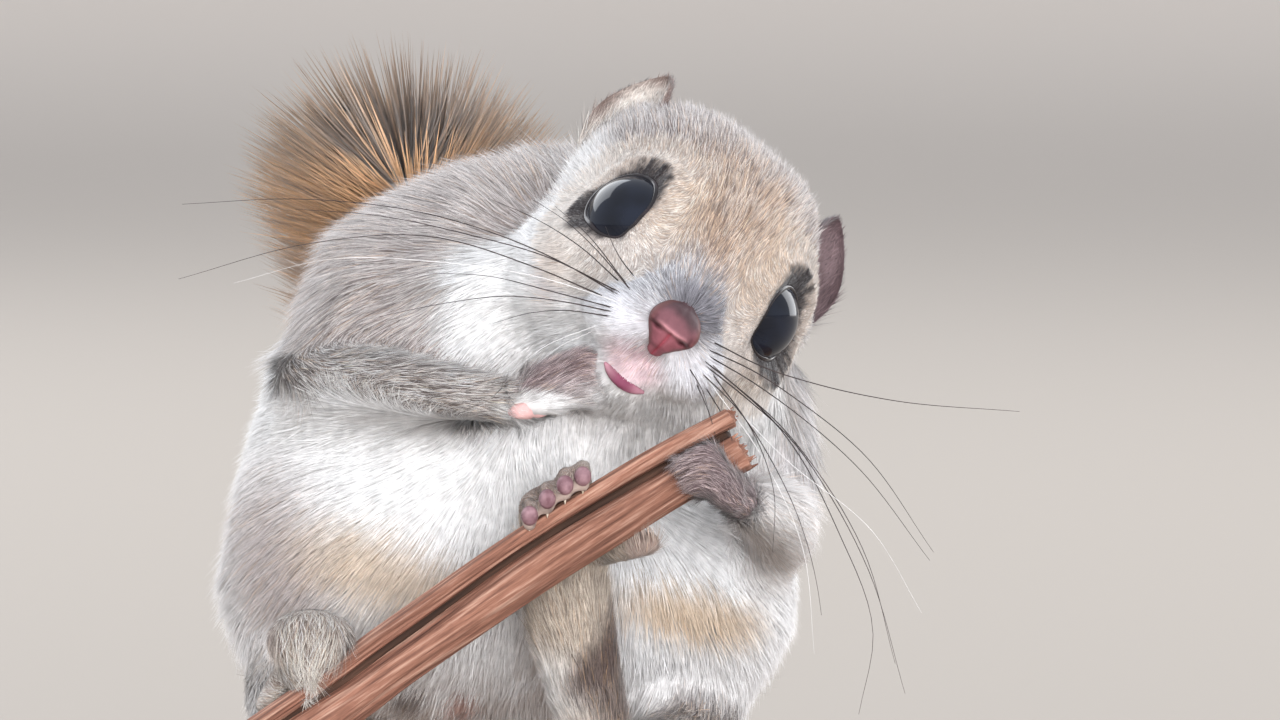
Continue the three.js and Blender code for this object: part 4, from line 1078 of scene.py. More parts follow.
def shortFur():
    plan = shortHair
    rate = areaOf(skinPoints, tris)
    middle = toHead(skinPoints[tris].sum(1) / 3)
    for side in ("right", "left"):
        margin, _, far = roundEye(side, middle)
        rate = rate * (1 + plan["eyeMore"] * smoothStep(2.4, 1.2, margin) * (far < eye["radius"] + 3))
    density = weights @ np.array([bySide(coatPlan, r)[0] for r in regions])
    rate = rate * density[tris].mean(1)
    number = int(rate.sum())
    pick, corner = pickPlaces(rate, number)
    pick = np.sort(pick)
    root, normal, lieWay, share = ((values[tris[pick]] * corner).sum(1)
                                   for values in (skinPoints, skinNormals, lie, weights))
    normal = unit(normal)
    part = {r: share[:, i] for i, r in enumerate(regions)}
    length, lift, width = (share @ np.array([bySide(coatPlan, r)[1:] for r in regions])).T

    # nothing grows over the eyes, the pads, the nose or the lips
    h = toHead(root)
    keep = np.ones(number, bool)
    for side in ("right", "left"):
        margin, _, far = roundEye(side, h)
        close = far < eye["radius"] + 6
        keep &= ~((margin < 0.05) & close)
        near = smoothStep(4.5, 0.2, margin) * close
        length = length * (1 - plan["eyeShorter"] * near - 0.08 * smoothStep(1.4, 0.2, margin) * close)
        lift = lift * (1 - plan["eyeFlatter"] * near)
        away = h - eye[side]["centre"]
        away = unit(away - (away @ eye[side]["out"])[:, None] * eye[side]["out"]) @ headTurn.T
        lieWay = lieWay * (1 - near)[:, None] + away * near[:, None]
        gap = np.linalg.norm(h - ears[side]["root"], axis=1)
        length = length * (1 - plan["earShorter"][side] * smoothStep(9, 5, gap) * part["head"])
    for spot in barePads:
        keep &= np.linalg.norm((root - spot["at"]) / spot["radii"], axis=1) > 1
    keep &= patch(h, (0, -22, -3.5), (2.6, 3, 2.5), 0.05) < 0.5
    bow = 1 - ((h[:, 0] - mouth["middle"]) / mouth["halfWidth"]) ** 2
    line = mouth["height"] - mouth["dip"] * bow
    keep &= ~((h[:, 1] < -12) & (bow > 0.1) & (h[:, 2] < line + 0.3) & (h[:, 2] > line - 0.7))

    # shorter, flatter or longer hair in places
    atMouth = patch(h, (mouth["middle"], -20, mouth["height"]), (4.6, 9, 2.6), 0.4)
    length = length * (1 - plan["mouthShorter"] * atMouth)
    length = length * (1 - plan["faceShorter"] * (smoothStep(-9, -19, h[:, 1]) * part["head"]))
    length = length * (1 - plan["heelShorter"] * part["footRight"] * smoothStep(29, 25.5, root[:, 2]))
    overToes = patch(root, (-1.5, -36, 45), (7, 8, 6), 0.3)
    length = length * (1 - plan["toesShorter"] * part["footLeft"] * overToes)
    behind = part["footRight"] + part["footLeft"] + 0.6 * part["shinRight"]
    behind = smoothStep(-0.5, 0.1, normal[:, 1]) * behind
    length = length * (1 - plan["farShorter"] * behind)
    lift = lift * (1 - plan["farFlatter"] * behind)
    nape = smoothStep(-3, 5, h[:, 1]) * part["head"]
    length = length * (1 + plan["napeLonger"] * nape)
    lift = lift * (1 + plan["napeSteeper"] * nape)

    # uneven growth
    lieWay = unit(lieWay - normal * (lieWay * normal).sum(1)[:, None])
    clump = softNoise(root, 1.6, 1)
    swirl = softNoise(root, 4.5, 2)
    length = length * (1 + 0.18 * draw.standard_normal(number).clip(-2, 2) + 0.16 * clump)
    lift = lift * (1 + 0.28 * draw.standard_normal(number).clip(-2, 2) + 0.2 * swirl)
    lift = np.radians(lift).clip(0.05, 1.2)
    width = width * draw.uniform(0.75, 1.25, number)
    sway = 0.13 * draw.standard_normal(number) + 0.2 * clump + 0.12 * swirl

    # uneven colours, with single sandy and dark hairs
    rootColour, tipColour, vary, darkShare, warm = markings(root, share)
    tone = draw.standard_normal(number).clip(-2.2, 2.2)
    warmHair = (draw.random(number) < warm * (1 + 0.8 * softNoise(root, 1.8, 10)))[:, None]
    tipColour = np.where(warmHair, 0.42 * tipColour + plan["sandyTip"], tipColour)
    mottle = 1 + vary * (0.8 * tone + 0.6 * softNoise(root, 1.1, 3))
    tipColour = np.clip(tipColour * mottle[:, None], 0.004, 0.95)
    darkHair = draw.random(number) < darkShare * (1 + 0.8 * softNoise(root, 0.9, 4))
    tipColour = np.where(darkHair[:, None], rootColour * 0.8 + tipColour * 0.12, tipColour)
    rootColour = np.clip(rootColour * (1 + 0.3 * vary * tone)[:, None], 0.003, 0.9)

    total = 0
    group = share.argmax(1)
    for name, (members, slot) in coatGroups.items():
        use = np.flatnonzero(keep & np.isin(group, [regions.index(r) for r in members]))
        use = use[np.argsort(root[use, 0] + 0.3 * root[use, 1], kind="stable")]
        pieces = max(1, math.ceil(len(use) * 4 / plan["mostTriangles"]))
        for k, some in enumerate(np.array_split(use, pieces)):
            label = "fur_" + name + ("_" + str(k + 1) if pieces > 1 else "")
            blades = lyingTufts(root[some], normal[some], lieWay[some], length[some], lift[some], width[some],
                                sway[some], 1)
            total += addCoat(label, blades, 1, root[some], normal[some], rootColour[some], tipColour[some])
            print("  ", label, len(some), "tufts")
    return total


coatTriangles = shortFur()
print("short coat:", coatTriangles, "triangles")

# tail brush: long hair combed to both sides of the core
tailPlan = {
    "hairs": 19000, "locks": 900, "gather": 0.3, "width": 0.19, "lift": 50,
    # shares of the way along the tail, with the hair's length and the core's half width there
    "start": 0.16, "lengthAt": [0.16, 0.3, 0.6, 1], "length": [8, 11.5, 13.2, 15],
    "coreAt": [0, 0.3, 0.8, 1], "core": [3.4, 4.6, 4.2, 2.2], "coreDepth": 2.1,
    "root": colour(182, 142, 106), "ochreTip": colour(238, 182, 122), "greyTip": colour(190, 162, 142),
}


def tailBrush():
    line = smoothCurve(tailPath, 200)
    heading = unit(np.gradient(line, axis=0))

    def placed(count):
        # root, outward direction, tip and length of hairs all round the core
        share = tailPlan["start"] + (1 - tailPlan["start"]) * draw.random(count) ** 0.85
        angle = draw.uniform(0, 2 * math.pi, count)
        at, way = line[(share * 199).astype(int)], heading[(share * 199).astype(int)]
        outwards = unit(np.cross(way, acrossTail))
        wide = np.interp(share, tailPlan["coreAt"], tailPlan["core"])
        # roots fill the tail's end as well, and there they point along it
        within = 1 - smoothStep(0.94, 1, share) * (1 - np.sqrt(draw.random(count)))
        sideways, through = within * np.cos(angle), within * np.sin(angle)
        root = (at + acrossTail * (sideways * wide)[:, None]
                + outwards * (through * tailPlan["coreDepth"])[:, None])
        normal = unit(acrossTail * (sideways * 1.2)[:, None] + outwards * (through * 0.75)[:, None]
                      + way * 0.12)
        combed = unit(way + acrossTail * (0.35 * sideways)[:, None])
        lift = tailPlan["lift"] - 12 * smoothStep(0.9, 1, share) + 8 * draw.standard_normal(count)
        lift = np.radians(lift).clip(0.2, 1.3)
        length = np.interp(share, tailPlan["lengthAt"], tailPlan["length"]) * draw.uniform(0.76, 1.06, count)
        tip = root + (normal * np.sin(lift)[:, None] + combed * np.cos(lift)[:, None]) * length[:, None]
        return root, normal, tip, length

    root, normal, tip, length = placed(tailPlan["hairs"])
    lockTip = placed(tailPlan["locks"])[2]
    tree = kdtree.KDTree(len(lockTip))
    for number, spot in enumerate(lockTip):
        tree.insert(spot, number)
    tree.balance()
    lock = np.array([tree.find(spot)[1] for spot in tip])
    # each hair leans towards the nearest lock's tip
    gather = (tailPlan["gather"] * draw.uniform(0.5, 1.2, len(tip)))[:, None]
    tip = tip * (1 - gather) + (lockTip[lock] + unit(tip - root) * 0.8) * gather
    bend = (root + tip) / 2 + normal * (0.13 * length)[:, None]
    width = tailPlan["width"] * draw.uniform(0.6, 1.3, len(tip))
    tone = draw.standard_normal(len(tip)).clip(-2, 2)[:, None]
    lockTone = draw.random(len(lockTip))[lock][:, None]
    rootColour = np.clip(tailPlan["root"] * (1 + 0.25 * tone), 0.01, 1)
    streaks = softNoise(root * vec(1, 1, 0.3), 3, 5)[:, None]
    ochre = np.clip(0.62 + 0.35 * (lockTone - 0.5) + 0.5 * streaks, 0, 1)
    tipColour = tailPlan["ochreTip"] * ochre + tailPlan["greyTip"] * (1 - ochre)
    tipColour = np.clip(tipColour * (1 + 0.16 * tone), 0.01, 1)
    blades = archedTufts(root, bend, tip, width, 2)
    return addCoat("fur_tail_brush", blades, 2, root, normal, rootColour, tipColour)


coatTriangles += tailBrush()
print("coat with the tail:", coatTriangles, "triangles")


# eyes and lids
def eyeMaterial():
    material, tree, shader = newMaterial("wetEye", Roughness=0.08, IOR=1.4)
    cloud = addNoise(tree, 260.0, 2.0)
    tone = ramp(tree, cloud, [(0.35, (0.004, 0.005, 0.009)), (0.7, (0.009, 0.012, 0.022))])
    tree.links.new(tone, shader.inputs["Base Color"])
    return material


def skinLikeMaterial(name, dark, light, roughness, scale=700.0, bump=0.25):
    material, tree, shader = newMaterial(name, Roughness=roughness)
    grain = addNoise(tree, scale, 4.0)
    tone = ramp(tree, grain, [(0.35, tuple(dark)), (0.68, tuple(light))])
    tree.links.new(tone, shader.inputs["Base Color"])
    addBump(tree, shader, grain, bump, 0.0002)
    return material


eyeSkin = eyeMaterial()
lidSkin = skinLikeMaterial("darkLid", colour(16, 12, 13), colour(38, 30, 32), 0.22)
bareSkin = coatMaterial("dampBareSkin", 0.5, 0.0, 0.5)
padSkin = skinLikeMaterial("pawPad", colour(104, 72, 78), colour(150, 118, 123), 0.5, 900.0, 0.6)
clawHorn = skinLikeMaterial("paleClaw", colour(176, 160, 140), colour(222, 210, 192), 0.3)


def eyePieces(side):
    centre = fromHead([eye[side]["centre"]])[0]
    p, t = ellipsoid((0, 0, 0), (eye["radius"],) * 3, 72, 48)
    ball = addMesh("eyeball_" + side, p + centre, t, eyeSkin)
    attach(ball, "root")
    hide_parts("eye_" + side)
    turn = np.arange(0, 360, 3.0)
    rim = onRim(side, turn, 1.0, eye["radius"] + 0.02)
    toRim = unit(rim - eye[side]["centre"])
    rim = fromHead(rim)
    heading = unit(np.roll(rim, -1, 0) - np.roll(rim, 1, 0))
    high = toRim @ headTurn.T
    wide = unit(np.cross(heading, high))
    n, m = len(rim), 12
    # the lid is thicker where the dark ring is wider
    thick = eye["lid"] * (0.6 + 0.4 * smoothStep(0.3, 0.8, allRound(turn, eye["darkAt"], eye["dark"])))
    thick = thick[:, None, None]
    section = np.linspace(0, 2 * math.pi, m, endpoint=False)
    ring = (rim[:, None] + np.cos(section)[None, :, None] * wide[:, None] * thick * 1.3
            + np.sin(section)[None, :, None] * high[:, None] * thick)
    i, j = np.meshgrid(np.arange(n), np.arange(m), indexing="ij")
    p0, p1 = i * m + j, i * m + (j + 1) % m
    q0, q1 = (i + 1) % n * m + j, (i + 1) % n * m + (j + 1) % m
    tri = np.concatenate([np.stack([p0, q0, q1], -1).reshape(-1, 3),
                          np.stack([p0, q1, p1], -1).reshape(-1, 3)])
    lid = addMesh("lid_" + side, ring.reshape(-1, 3), tri, lidSkin)
    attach(lid, "root")


for side in ("right", "left"):
    eyePieces(side)
print("eyes and lids made")

# nose, lip and ears
nosePad = {
    # height, middle, half width and half depth of rings from the top down
    "rings": [(-0.6, -20.7, 0.9, 0.6), (-1.2, -21.1, 1.9, 1.2), (-2.0, -21.35, 2.5, 1.55),
              (-2.9, -21.45, 2.8, 1.75), (-3.7, -21.45, 2.65, 1.8), (-4.4, -21.3, 2.15, 1.65),
              (-5.0, -21.15, 1.6, 1.5), (-5.45, -21.0, 1.25, 1.35), (-5.85, -20.75, 0.9, 1.05)],
    "ridge": -3.75,
    "tones": {"pad": colour(114, 74, 80), "top": colour(58, 46, 48), "below": colour(134, 76, 84),
              # lip is a painted highlight along the pad's lower ridge, sides is painted shade where the pad
              # turns away, hole is painted shade inside the nostrils
              "lip": colour(196, 138, 142), "sides": colour(96, 60, 58), "hole": colour(50, 22, 26),
              "groove": colour(150, 52, 66)},
}


def addNose():
    tones, ridge = nosePad["tones"], nosePad["ridge"]
    z, y, wide, deep = smoothCurve(nosePad["rings"], 70).T
    zero = np.zeros_like(z)
    p, t = ringTube(np.stack([zero, y, z], 1), np.stack([wide, zero, zero], 1),
                    np.stack([zero, deep, zero], 1), 72)
    t = t[:, ::-1]
    x, z = p[:, 0], p[:, 2]
    widest = np.interp(-z, [-r[0] for r in nosePad["rings"]], [r[2] for r in nosePad["rings"]])
    front = smoothStep(0.2, 1.0, np.interp(-z, [0.6, 2.9, 5.9], [-20.6, -21.4, -20.3]) - p[:, 1])
    below = smoothStep(ridge + 0.05, ridge - 0.3, z)
    # the ridge under the pad's front: a slight fold in the shape, with a painted highlight along it
    lip = np.exp(-((z - ridge - 0.12) / 0.24) ** 2)
    groove = np.exp(-(x / 0.17) ** 2)
    # the nostrils are shallow dents, painted dark as the shade inside them
    hole = np.zeros(len(p))
    for s in (-1, 1):
        # a slanted nostril with a notch beside it
        hole += np.exp(-(((x - s * (1.55 + 0.35 * (z + 3.9))) / 0.62) ** 2 + ((z + 3.95) / 0.27) ** 2))
        hole += 0.6 * np.exp(-(((x - s * 2.15) / 0.25) ** 2 + ((z + 3.5) / 0.5) ** 2))
    hole = hole.clip(0, 1)
    p[:, 1] += front * (0.3 * below - 0.16 * lip + 0.28 * groove * below + 0.09 * groove + 0.6 * hole)
    p[:, 1] -= front * 0.05 * softNoise(p, 0.8, 7)
    tone = np.tile(tones["pad"], (len(p), 1))
    tone = tint(tone, 0.85 * smoothStep(-3.2, -1.2, z + 0.5 * softNoise(p, 1.2, 9)), tones["top"])
    tone = tint(tone, 0.75 * below, tones["below"])
    # painted highlight along the ridge
    tone = tint(tone, 0.55 * lip * smoothStep(2.2, 1.4, abs(x)), tones["lip"])
    # painted shade where the pad's sides turn away
    tone = tint(tone, 0.75 * smoothStep(0.72, 0.95, abs(x) / widest), tones["sides"])
    # painted shade inside the nostrils
    tone = tint(tone, 0.9 * hole, tones["hole"])
    tone = tint(tone, 0.5 * groove * below, tones["groove"])
    piece = addMesh("nose_pad", fromHead(p), t, bareSkin)
    addColour(piece, "coatColour", tone)
    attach(piece, "root")
    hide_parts("nose")


def addLip():
    x = np.linspace(*mouth["corners"], 9)
    bow = 1 - ((x - mouth["middle"]) / mouth["halfWidth"]) ** 2
    z = mouth["height"] - mouth["dip"] * bow - mouth["drop"]
    y = np.array([foremost(headSkin, a, b) for a, b in zip(x, z)])
    y = np.convolve(np.pad(y, 1, mode="edge"), [0.25, 0.5, 0.25], "valid") + mouth["sunk"]
    thick = mouth["thick"] * np.clip(bow, 0.12, 1) ** 0.5
    p, t = limb(np.stack([x, y, z], 1), [[w, w] for w in thick], (0, 0, 1), 14, 48)
    piece = addMesh("lip_lower", fromHead(p), t, bareSkin)
    outer, inner = mouth["tones"]
    amount = smoothStep(2.2, 0.4, abs(p[:, 0] - mouth["middle"]))
    addColour(piece, "coatColour", tint(np.tile(outer, (len(p), 1)), amount, inner))
    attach(piece, "root")


def earTurn(side):
    return turnAbout((1, 0, 0), -ears["lean"]) @ turnAbout((0, 0, 1), ears[side]["yaw"])


def earPoint(side, x, z, back):
    # a place on the shell from -1 to 1 across and up; back is 1 on its outer face and 0 inside the cup
    taper = 1 - 0.5 * np.maximum(0, z) ** 1.6
    bulge = np.sqrt(np.clip(1 - x * x - z * z, 0, 1)) * ears["thickness"] / 2
    y = 1.1 * z**2 - 0.9 * x**2 + bulge - (1 - back) * ears["wall"] * np.clip(bulge * 4, 0, 1)
    flat = np.stack([x * ears["width"] * taper / 2, y, z * ears["length"] / 2], -1)
    return flat @ earTurn(side).T + ears[side]["root"]


def addEar(side):
    rings, around = 16, 48
    angle = np.linspace(0, 2 * math.pi, around, endpoint=False)
    points = []
    for back in (1, 0):
        for k in range(1, rings + 1):
            r = math.sin(k / rings * math.pi / 2)
            points.append(earPoint(side, r * np.cos(angle), r * np.sin(angle), back))
    points = np.concatenate(points + [earPoint(side, np.zeros(1), np.zeros(1), back) for back in (1, 0)])
    tri = []
    for face in (0, 1):
        start = face * rings * around
        for k in range(rings - 1):
            for j in range(around):
                a, b = start + k * around + j, start + k * around + (j + 1) % around
                c, d = a + around, b + around
                tri += [[a, b, d], [a, d, c]] if face else [[a, d, b], [a, c, d]]
        middle = 2 * rings * around + face
        for j in range(around):
            a, b = start + j, start + (j + 1) % around
            tri.append([middle, b, a] if not face else [middle, a, b])
    # the rim joins both faces
    last, other = (rings - 1) * around, (2 * rings - 1) * around
    for j in range(around):
        a, b = last + j, last + (j + 1) % around
        c, d = other + j, other + (j + 1) % around
        tri += [[a, d, b], [a, c, d]]
    tri = np.array(tri)[:, ::-1]
    inside = np.zeros(len(points))
    inside[rings * around:2 * rings * around] = 1
    inside[-1] = 1
    flat = ((points - ears[side]["root"]) @ earTurn(side)) / vec(ears["width"] / 2, 1, ears["length"] / 2)
    edge = np.hypot(flat[:, 0], flat[:, 2])

    def tones(amountInside, edgeness, height):
        outer, inner, rim = ears[side]["tones"]
        tone = tint(np.tile(colour(*outer), (len(edgeness), 1)), amountInside, colour(*inner))
        return tint(tone, 0.85 * smoothStep(0.7, 0.95, edgeness) * smoothStep(-0.5, 0, height), colour(*rim))

    piece = addMesh("ear_shell_" + side, fromHead(points), tri, bareSkin)
    addColour(piece, "coatColour", 0.8 * tones(inside, edge, flat[:, 2]))
    world = fromHead(points)
    normals = normalsOf(world, tri)
    pick, share = pickPlaces(areaOf(world, tri), ears["hairs"])
    root, normal = (world[tri[pick]] * share).sum(1), unit((normals[tri[pick]] * share).sum(1))
    within, rimward, height = ((values[tri[pick]] * share[:, :, 0]).sum(1)
                               for values in (inside, edge, flat[:, 2]))
    count = len(root)
    lieWay = np.tile(headTurn @ (earTurn(side) @ vec(0, 0, 1)), (count, 1))
    lieWay = lieWay + 0.2 * draw.standard_normal((count, 3))
    lieWay = unit(lieWay - normal * (lieWay * normal).sum(1)[:, None])
    length = (0.75 + 2.2 * within * smoothStep(0.5, -0.5, height)) * draw.uniform(0.7, 1.2, count)
    tip = tones(within, rimward, height) * (1 + 0.28 * draw.standard_normal((count, 1)).clip(-2, 2))
    blades = lyingTufts(root, normal, lieWay, length, np.radians(24 * draw.uniform(0.6, 1.5, count)),
                        0.1 * draw.uniform(0.8, 1.3, count), 0.2 * draw.standard_normal(count), 1)
    addCoat("fur_ear_" + side, blades, 1, root, normal, 0.6 * tip, np.clip(1.25 * tip, 0.01, 0.95))
    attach(piece, "root")
    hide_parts("ear_" + side)


addNose()
addLip()
for side in ("right", "left"):
    addEar(side)
print("nose, lip and ears made")

# claws and pads
clawPlan = {
    "step": 0.44, "bend": 13, "sunk": 0.5, "thick": vec(0.42, 0.4, 0.35, 0.27, 0.18, 0.06), "flat": 0.7,
}


def addClaws():
    parts = []
    for claw in claws:
        direction, hinge, size = unit(claw["direction"]), unit(claw["hinge"]), claw["size"]
        at = claw["tip"] - direction * clawPlan["sunk"]
        line = []
        for _ in clawPlan["thick"]:
            line.append(at.copy())
            direction = turnAbout(hinge, clawPlan["bend"]) @ direction
            at = at + direction * clawPlan["step"] * size
        thick = clawPlan["thick"] * (0.4 + 0.6 * size)
        parts.append(limb(line, [[clawPlan["flat"] * w, w] for w in thick], hinge, 8, 10, 1))
    p, t = joinParts(parts)
    piece = addMesh("claws", p, t, clawHorn)
    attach(piece, "root")


def addPads():
    # bare pads in front of the left foot's toe ends, and the palm of the raised hand
    p, t = ellipsoid((0, 0, 0), toePad["radii"], 20, 14)
    p, t = joinParts([(q["at"] + toePad["offset"] + p, t) for q in padSpots])
    piece = addMesh("toe_pads", p, t, padSkin)
    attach(piece, "root")
    p, t = ellipsoid((0, 0, 0), palm["radii"], 56, 36)
    fold = np.exp(-((p[:, 0] - 0.5 - 0.3 * p[:, 2]) / 0.28) ** 2)
    p = p * (1 - 0.16 * fold + 0.05 * softNoise(p, 0.9, 8))[:, None]
    p = p @ turnAbout((0, 1, 0), palm["lean"]).T
    deep = smoothStep(1.6, 0.2, np.hypot(p[:, 0] - 1.1, 1.6 * (p[:, 2] - 0.3)))
    tone = tint(np.tile(palm["tones"][0], (len(p), 1)), deep, palm["tones"][1])
    piece = addMesh("palm_pad", p + palm["at"], t, bareSkin)
    addColour(piece, "coatColour", tone)
    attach(piece, "root")


addClaws()
addPads()
print("claws and pads made")

# whiskers
whiskerPaths = {
    # places along each whisker, across and up, how far the tip comes forward, and its colour
    "right": [
        ([(6.1, 63.3), (0.2, 66.7), (-11.9, 71.2), (-25.3, 72.9), (-37.2, 72.4)], 2, "dark"),
        ([(6.0, 63.7), (-1.2, 67.2), (-9.0, 69.4), (-17.5, 71.2), (-26, 71.9)], 5, "dark"),
        ([(4.4, 63.3), (-2.2, 66.1), (-12.7, 69.2), (-24.6, 68.5), (-37.5, 65)], 5, "dark"),
        ([(5.6, 62.1), (-1.2, 63.9), (-6.5, 65.2), (-13, 65.6)], 7, "dark"),
        ([(5.6, 61.7), (0.2, 62.8), (-5.2, 63.3), (-11.2, 62.6), (-18, 61.2)], 6, "dark"),
        ([(5.2, 61.3), (0.2, 61.9), (-3.0, 61.6), (-6.5, 60.6)], 7, "dark"),
        ([(7.1, 63.9), (3.5, 68.1), (0.7, 70.7), (-2.5, 72.8)], 4, "dark"),
        ([(5.8, 64.9), (2.1, 68.2), (-2.0, 70.8), (-7, 73)], 4, "dark"),
        ([(7.4, 65.3), (6.1, 67), (5.2, 68.7), (4.6, 70.2)], 3, "dark"),
        ([(6.6, 64.6), (2.6, 69.6), (-0.4, 72.2)], 4, "dark"),
        ([(6.3, 62.6), (-2, 65.2), (-12, 66.7), (-23, 66.9), (-32, 64.6)], 4, "pale"),
        ([(3.6, 60.4), (-1.6, 58.2), (-5.0, 55.4)], 6, "pale"),
        ([(3.2, 59.8), (0.2, 58.4), (-2.2, 56.6)], 6, "pale"),
    ],
    "left": [
        ([(15.4, 58.7), (20.2, 56.3), (25.5, 54.6), (33, 53.0), (45.5, 51.9)], 2, "dark"),
        ([(14.6, 58.1), (19.6, 55.7), (23.9, 52.8), (30, 47.8), (37, 38)], 3, "dark"),
        ([(14.4, 57.6), (19.0, 54.9), (23.6, 51.6), (29.4, 46.5), (36.6, 37.2)], 5, "dark"),
        ([(14.0, 57.2), (17.5, 54.4), (21.5, 50.9), (25.5, 46), (30, 38.3), (33.2, 27)], 5, "dark"),
        ([(13.9, 56.9), (18.3, 53.4), (22.8, 49.3), (26.6, 43.9), (30.5, 36.4), (34.2, 24)], 3, "dark"),
        ([(13.7, 56.1), (17.5, 52.3), (21.5, 46.1), (23.9, 40.7), (25.6, 34), (25.9, 31.8)], 6, "dark"),
        ([(13.5, 54.8), (14.8, 51.8), (15.6, 49.0)], 5, "dark"),
        ([(14.5, 54.3), (16.7, 50.4), (17.6, 46.6)], 6, "dark"),
        ([(12.8, 56.3), (14.1, 54.1), (14.9, 51.6)], 4, "dark"),
        ([(15.2, 55.6), (19.4, 49.4), (21.2, 44), (21.1, 38)], 6, "dark"),
        ([(15.0, 56.6), (22, 50), (27.6, 40), (31, 30), (29.6, 22)], 6, "dark"),
        ([(14.6, 55.2), (20, 47.5), (24, 38.6), (25.2, 28)], 7, "pale"),
        ([(14.2, 55.8), (22.6, 47), (31, 40), (35.8, 32)], 6, "pale"),
    ],
}


# half widths at the root, a little way out and at the tip
whiskerThick = {"dark": [0.085, 0.07, 0.02], "pale": [0.0425, 0.035, 0.01]}


def addWhiskers(side):
    parts = {"dark": [], "pale": []}
    for line, forward, kind in whiskerPaths[side]:
        flat = smoothCurve([(x, 0, z) for x, z in line], 26)
        root = foremost(skinPoints, flat[0, 0], flat[0, 2] + 0.7)
        t = np.linspace(0, 1, 26)
        # each line is as seen from the front, a little above: further forward is a little lower
        flat[:, 1] = root + 0.5 - forward * np.sin(t * math.pi / 2) * (1 - 0.25 * t)
        flat[:, 2] -= (flat[:, 1] + 15) * math.tan(math.radians(2.5))
        thick = np.interp(t, [0, 0.15, 1], whiskerThick[kind])
        parts[kind].append(limb(flat, [[w, w] for w in thick], (0, 1, 0), 6, 26, 1))
    for kind, material in (("dark", darkWhisker), ("pale", paleWhisker)):
        piece = addMesh("whiskers_" + kind + "_" + side, *joinParts(parts[kind]), material)
        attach(piece, "root")


darkWhisker = skinLikeMaterial("darkWhisker", colour(30, 24, 24), colour(58, 48, 46), 0.35, 200.0, 0.05)
paleWhisker = skinLikeMaterial("paleWhisker", colour(200, 196, 194), colour(236, 234, 232), 0.4, 200.0, 0.05)
for side in ("right", "left"):
    addWhiskers(side)
print("whiskers made")


# the cut stem
def woodMaterial(name, dark, mid, light, axis, fibre=1.0, roughness=0.75):
    # grain drawn out along the wood's own direction
    material, tree, shader = newMaterial(name, Roughness=roughness)
    place = addNode(tree, "TexCoord")
    angles = Vector((0, 0, 1)).rotation_difference(Vector(axis)).inverted().to_euler()
    turn = addNode(tree, "Mapping")
    turn.inputs["Rotation"].default_value = angles
    tree.links.new(place.outputs["Object"], turn.inputs["Vector"])
    squeeze = addNode(tree, "Mapping")  # draws the grain out lengthways
    squeeze.inputs["Scale"].default_value = (1, 1, 0.05)
    tree.links.new(turn.outputs["Vector"], squeeze.inputs["Vector"])
    fibres = addNode(tree, "TexNoise", in_Scale=1500.0 * fibre, in_Detail=5.0, in_Roughness=0.65)
    broad = addNode(tree, "TexNoise", in_Scale=330.0 * fibre, in_Detail=3.0)
    for node in (fibres, broad):
        tree.links.new(squeeze.outputs["Vector"], node.inputs["Vector"])
    tone = ramp(tree, fibres.outputs["Fac"], [(0.28, tuple(dark)), (0.5, tuple(mid)), (0.72, tuple(light))])
    patchy = ramp(tree, broad.outputs["Fac"], [(0.35, (0.62, 0.58, 0.56)), (0.65, (1.1, 1.08, 1.05))])
    tree.links.new(mixColours(tree, "MULTIPLY", 0.85, tone, patchy), shader.inputs["Base Color"])
    addBump(tree, shader, fibres.outputs["Fac"], 0.7, 0.0004)
    return material


stemWood = woodMaterial("splitStem", colour(84, 57, 49), colour(146, 103, 86), colour(198, 161, 142),
                        stemAlong, 1.3, 0.9)


stemPlan = {
    "strands": [
        {"up": 0.1, "front": 0.1, "radius": 2.06, "deep": 1.2, "from": 0.0, "to": 0.985},
        {"up": 3.62, "front": -0.1, "radius": 0.97, "deep": 1.95, "from": 0.01, "to": 1.0},
    ],
    # how far the stem bends up, at shares of its length
    "bow": [(0, -0.9), (0.2, -0.75), (0.4, -0.1), (0.6, 0.35), (0.8, -0.25), (1, -1.4)],
    "rings": 150, "around": 56, "ends": (0.3, 0.5), "frayed": 46,
    "split": {"from": 0.01, "to": 0.975, "up": 2.35, "behind": 0.3, "wide": 0.75, "deep": 1.0, "rings": 80},
}


def stemStrand(number, strand, bow):
    rings, around = stemPlan["rings"], stemPlan["around"]
    t = np.linspace(strand["from"], strand["to"], rings)
    up = strand["up"] + np.interp(t, bow[:, 0], bow[:, 1]) + 0.12 * np.sin(9 * t)
    centre = (stem["bottom"] + stemAlong * (t * stemLength)[:, None] + stemUp * up[:, None]
              + stemFront * (strand["front"] + 0.15 * np.sin(13 * t))[:, None])
    size = strand["radius"] * (1 + 0.05 * np.sin(11 * t + strand["up"]))
    a = np.linspace(0, 2 * math.pi, around, endpoint=False)
    rows = []
    for k in range(rings):
        # ridges that wind slowly along the wood
        ridge = (0.06 * np.sin(4 * a + 5 * t[k] + number) + 0.05 * abs(np.sin(3.5 * a - 4 * t[k] + number))
                 + 0.03 * np.sin(13 * a + 3 * t[k]) + 0.03 * abs(np.sin(9.5 * a + 2 * t[k])) - 0.06)
        r = size[k] * (1 + ridge)
        rows.append(centre[k] + np.outer(np.cos(a) * r, stemUp)
                    + np.outer(np.sin(a) * r * strand["deep"], stemFront))
    before, after = stemPlan["ends"]
    ends = [rows[0].mean(0) - stemAlong * before, rows[-1].mean(0) + stemAlong * after]
    return np.concatenate(rows + [ends]), tubeFaces(rings, around)[:, ::-1]


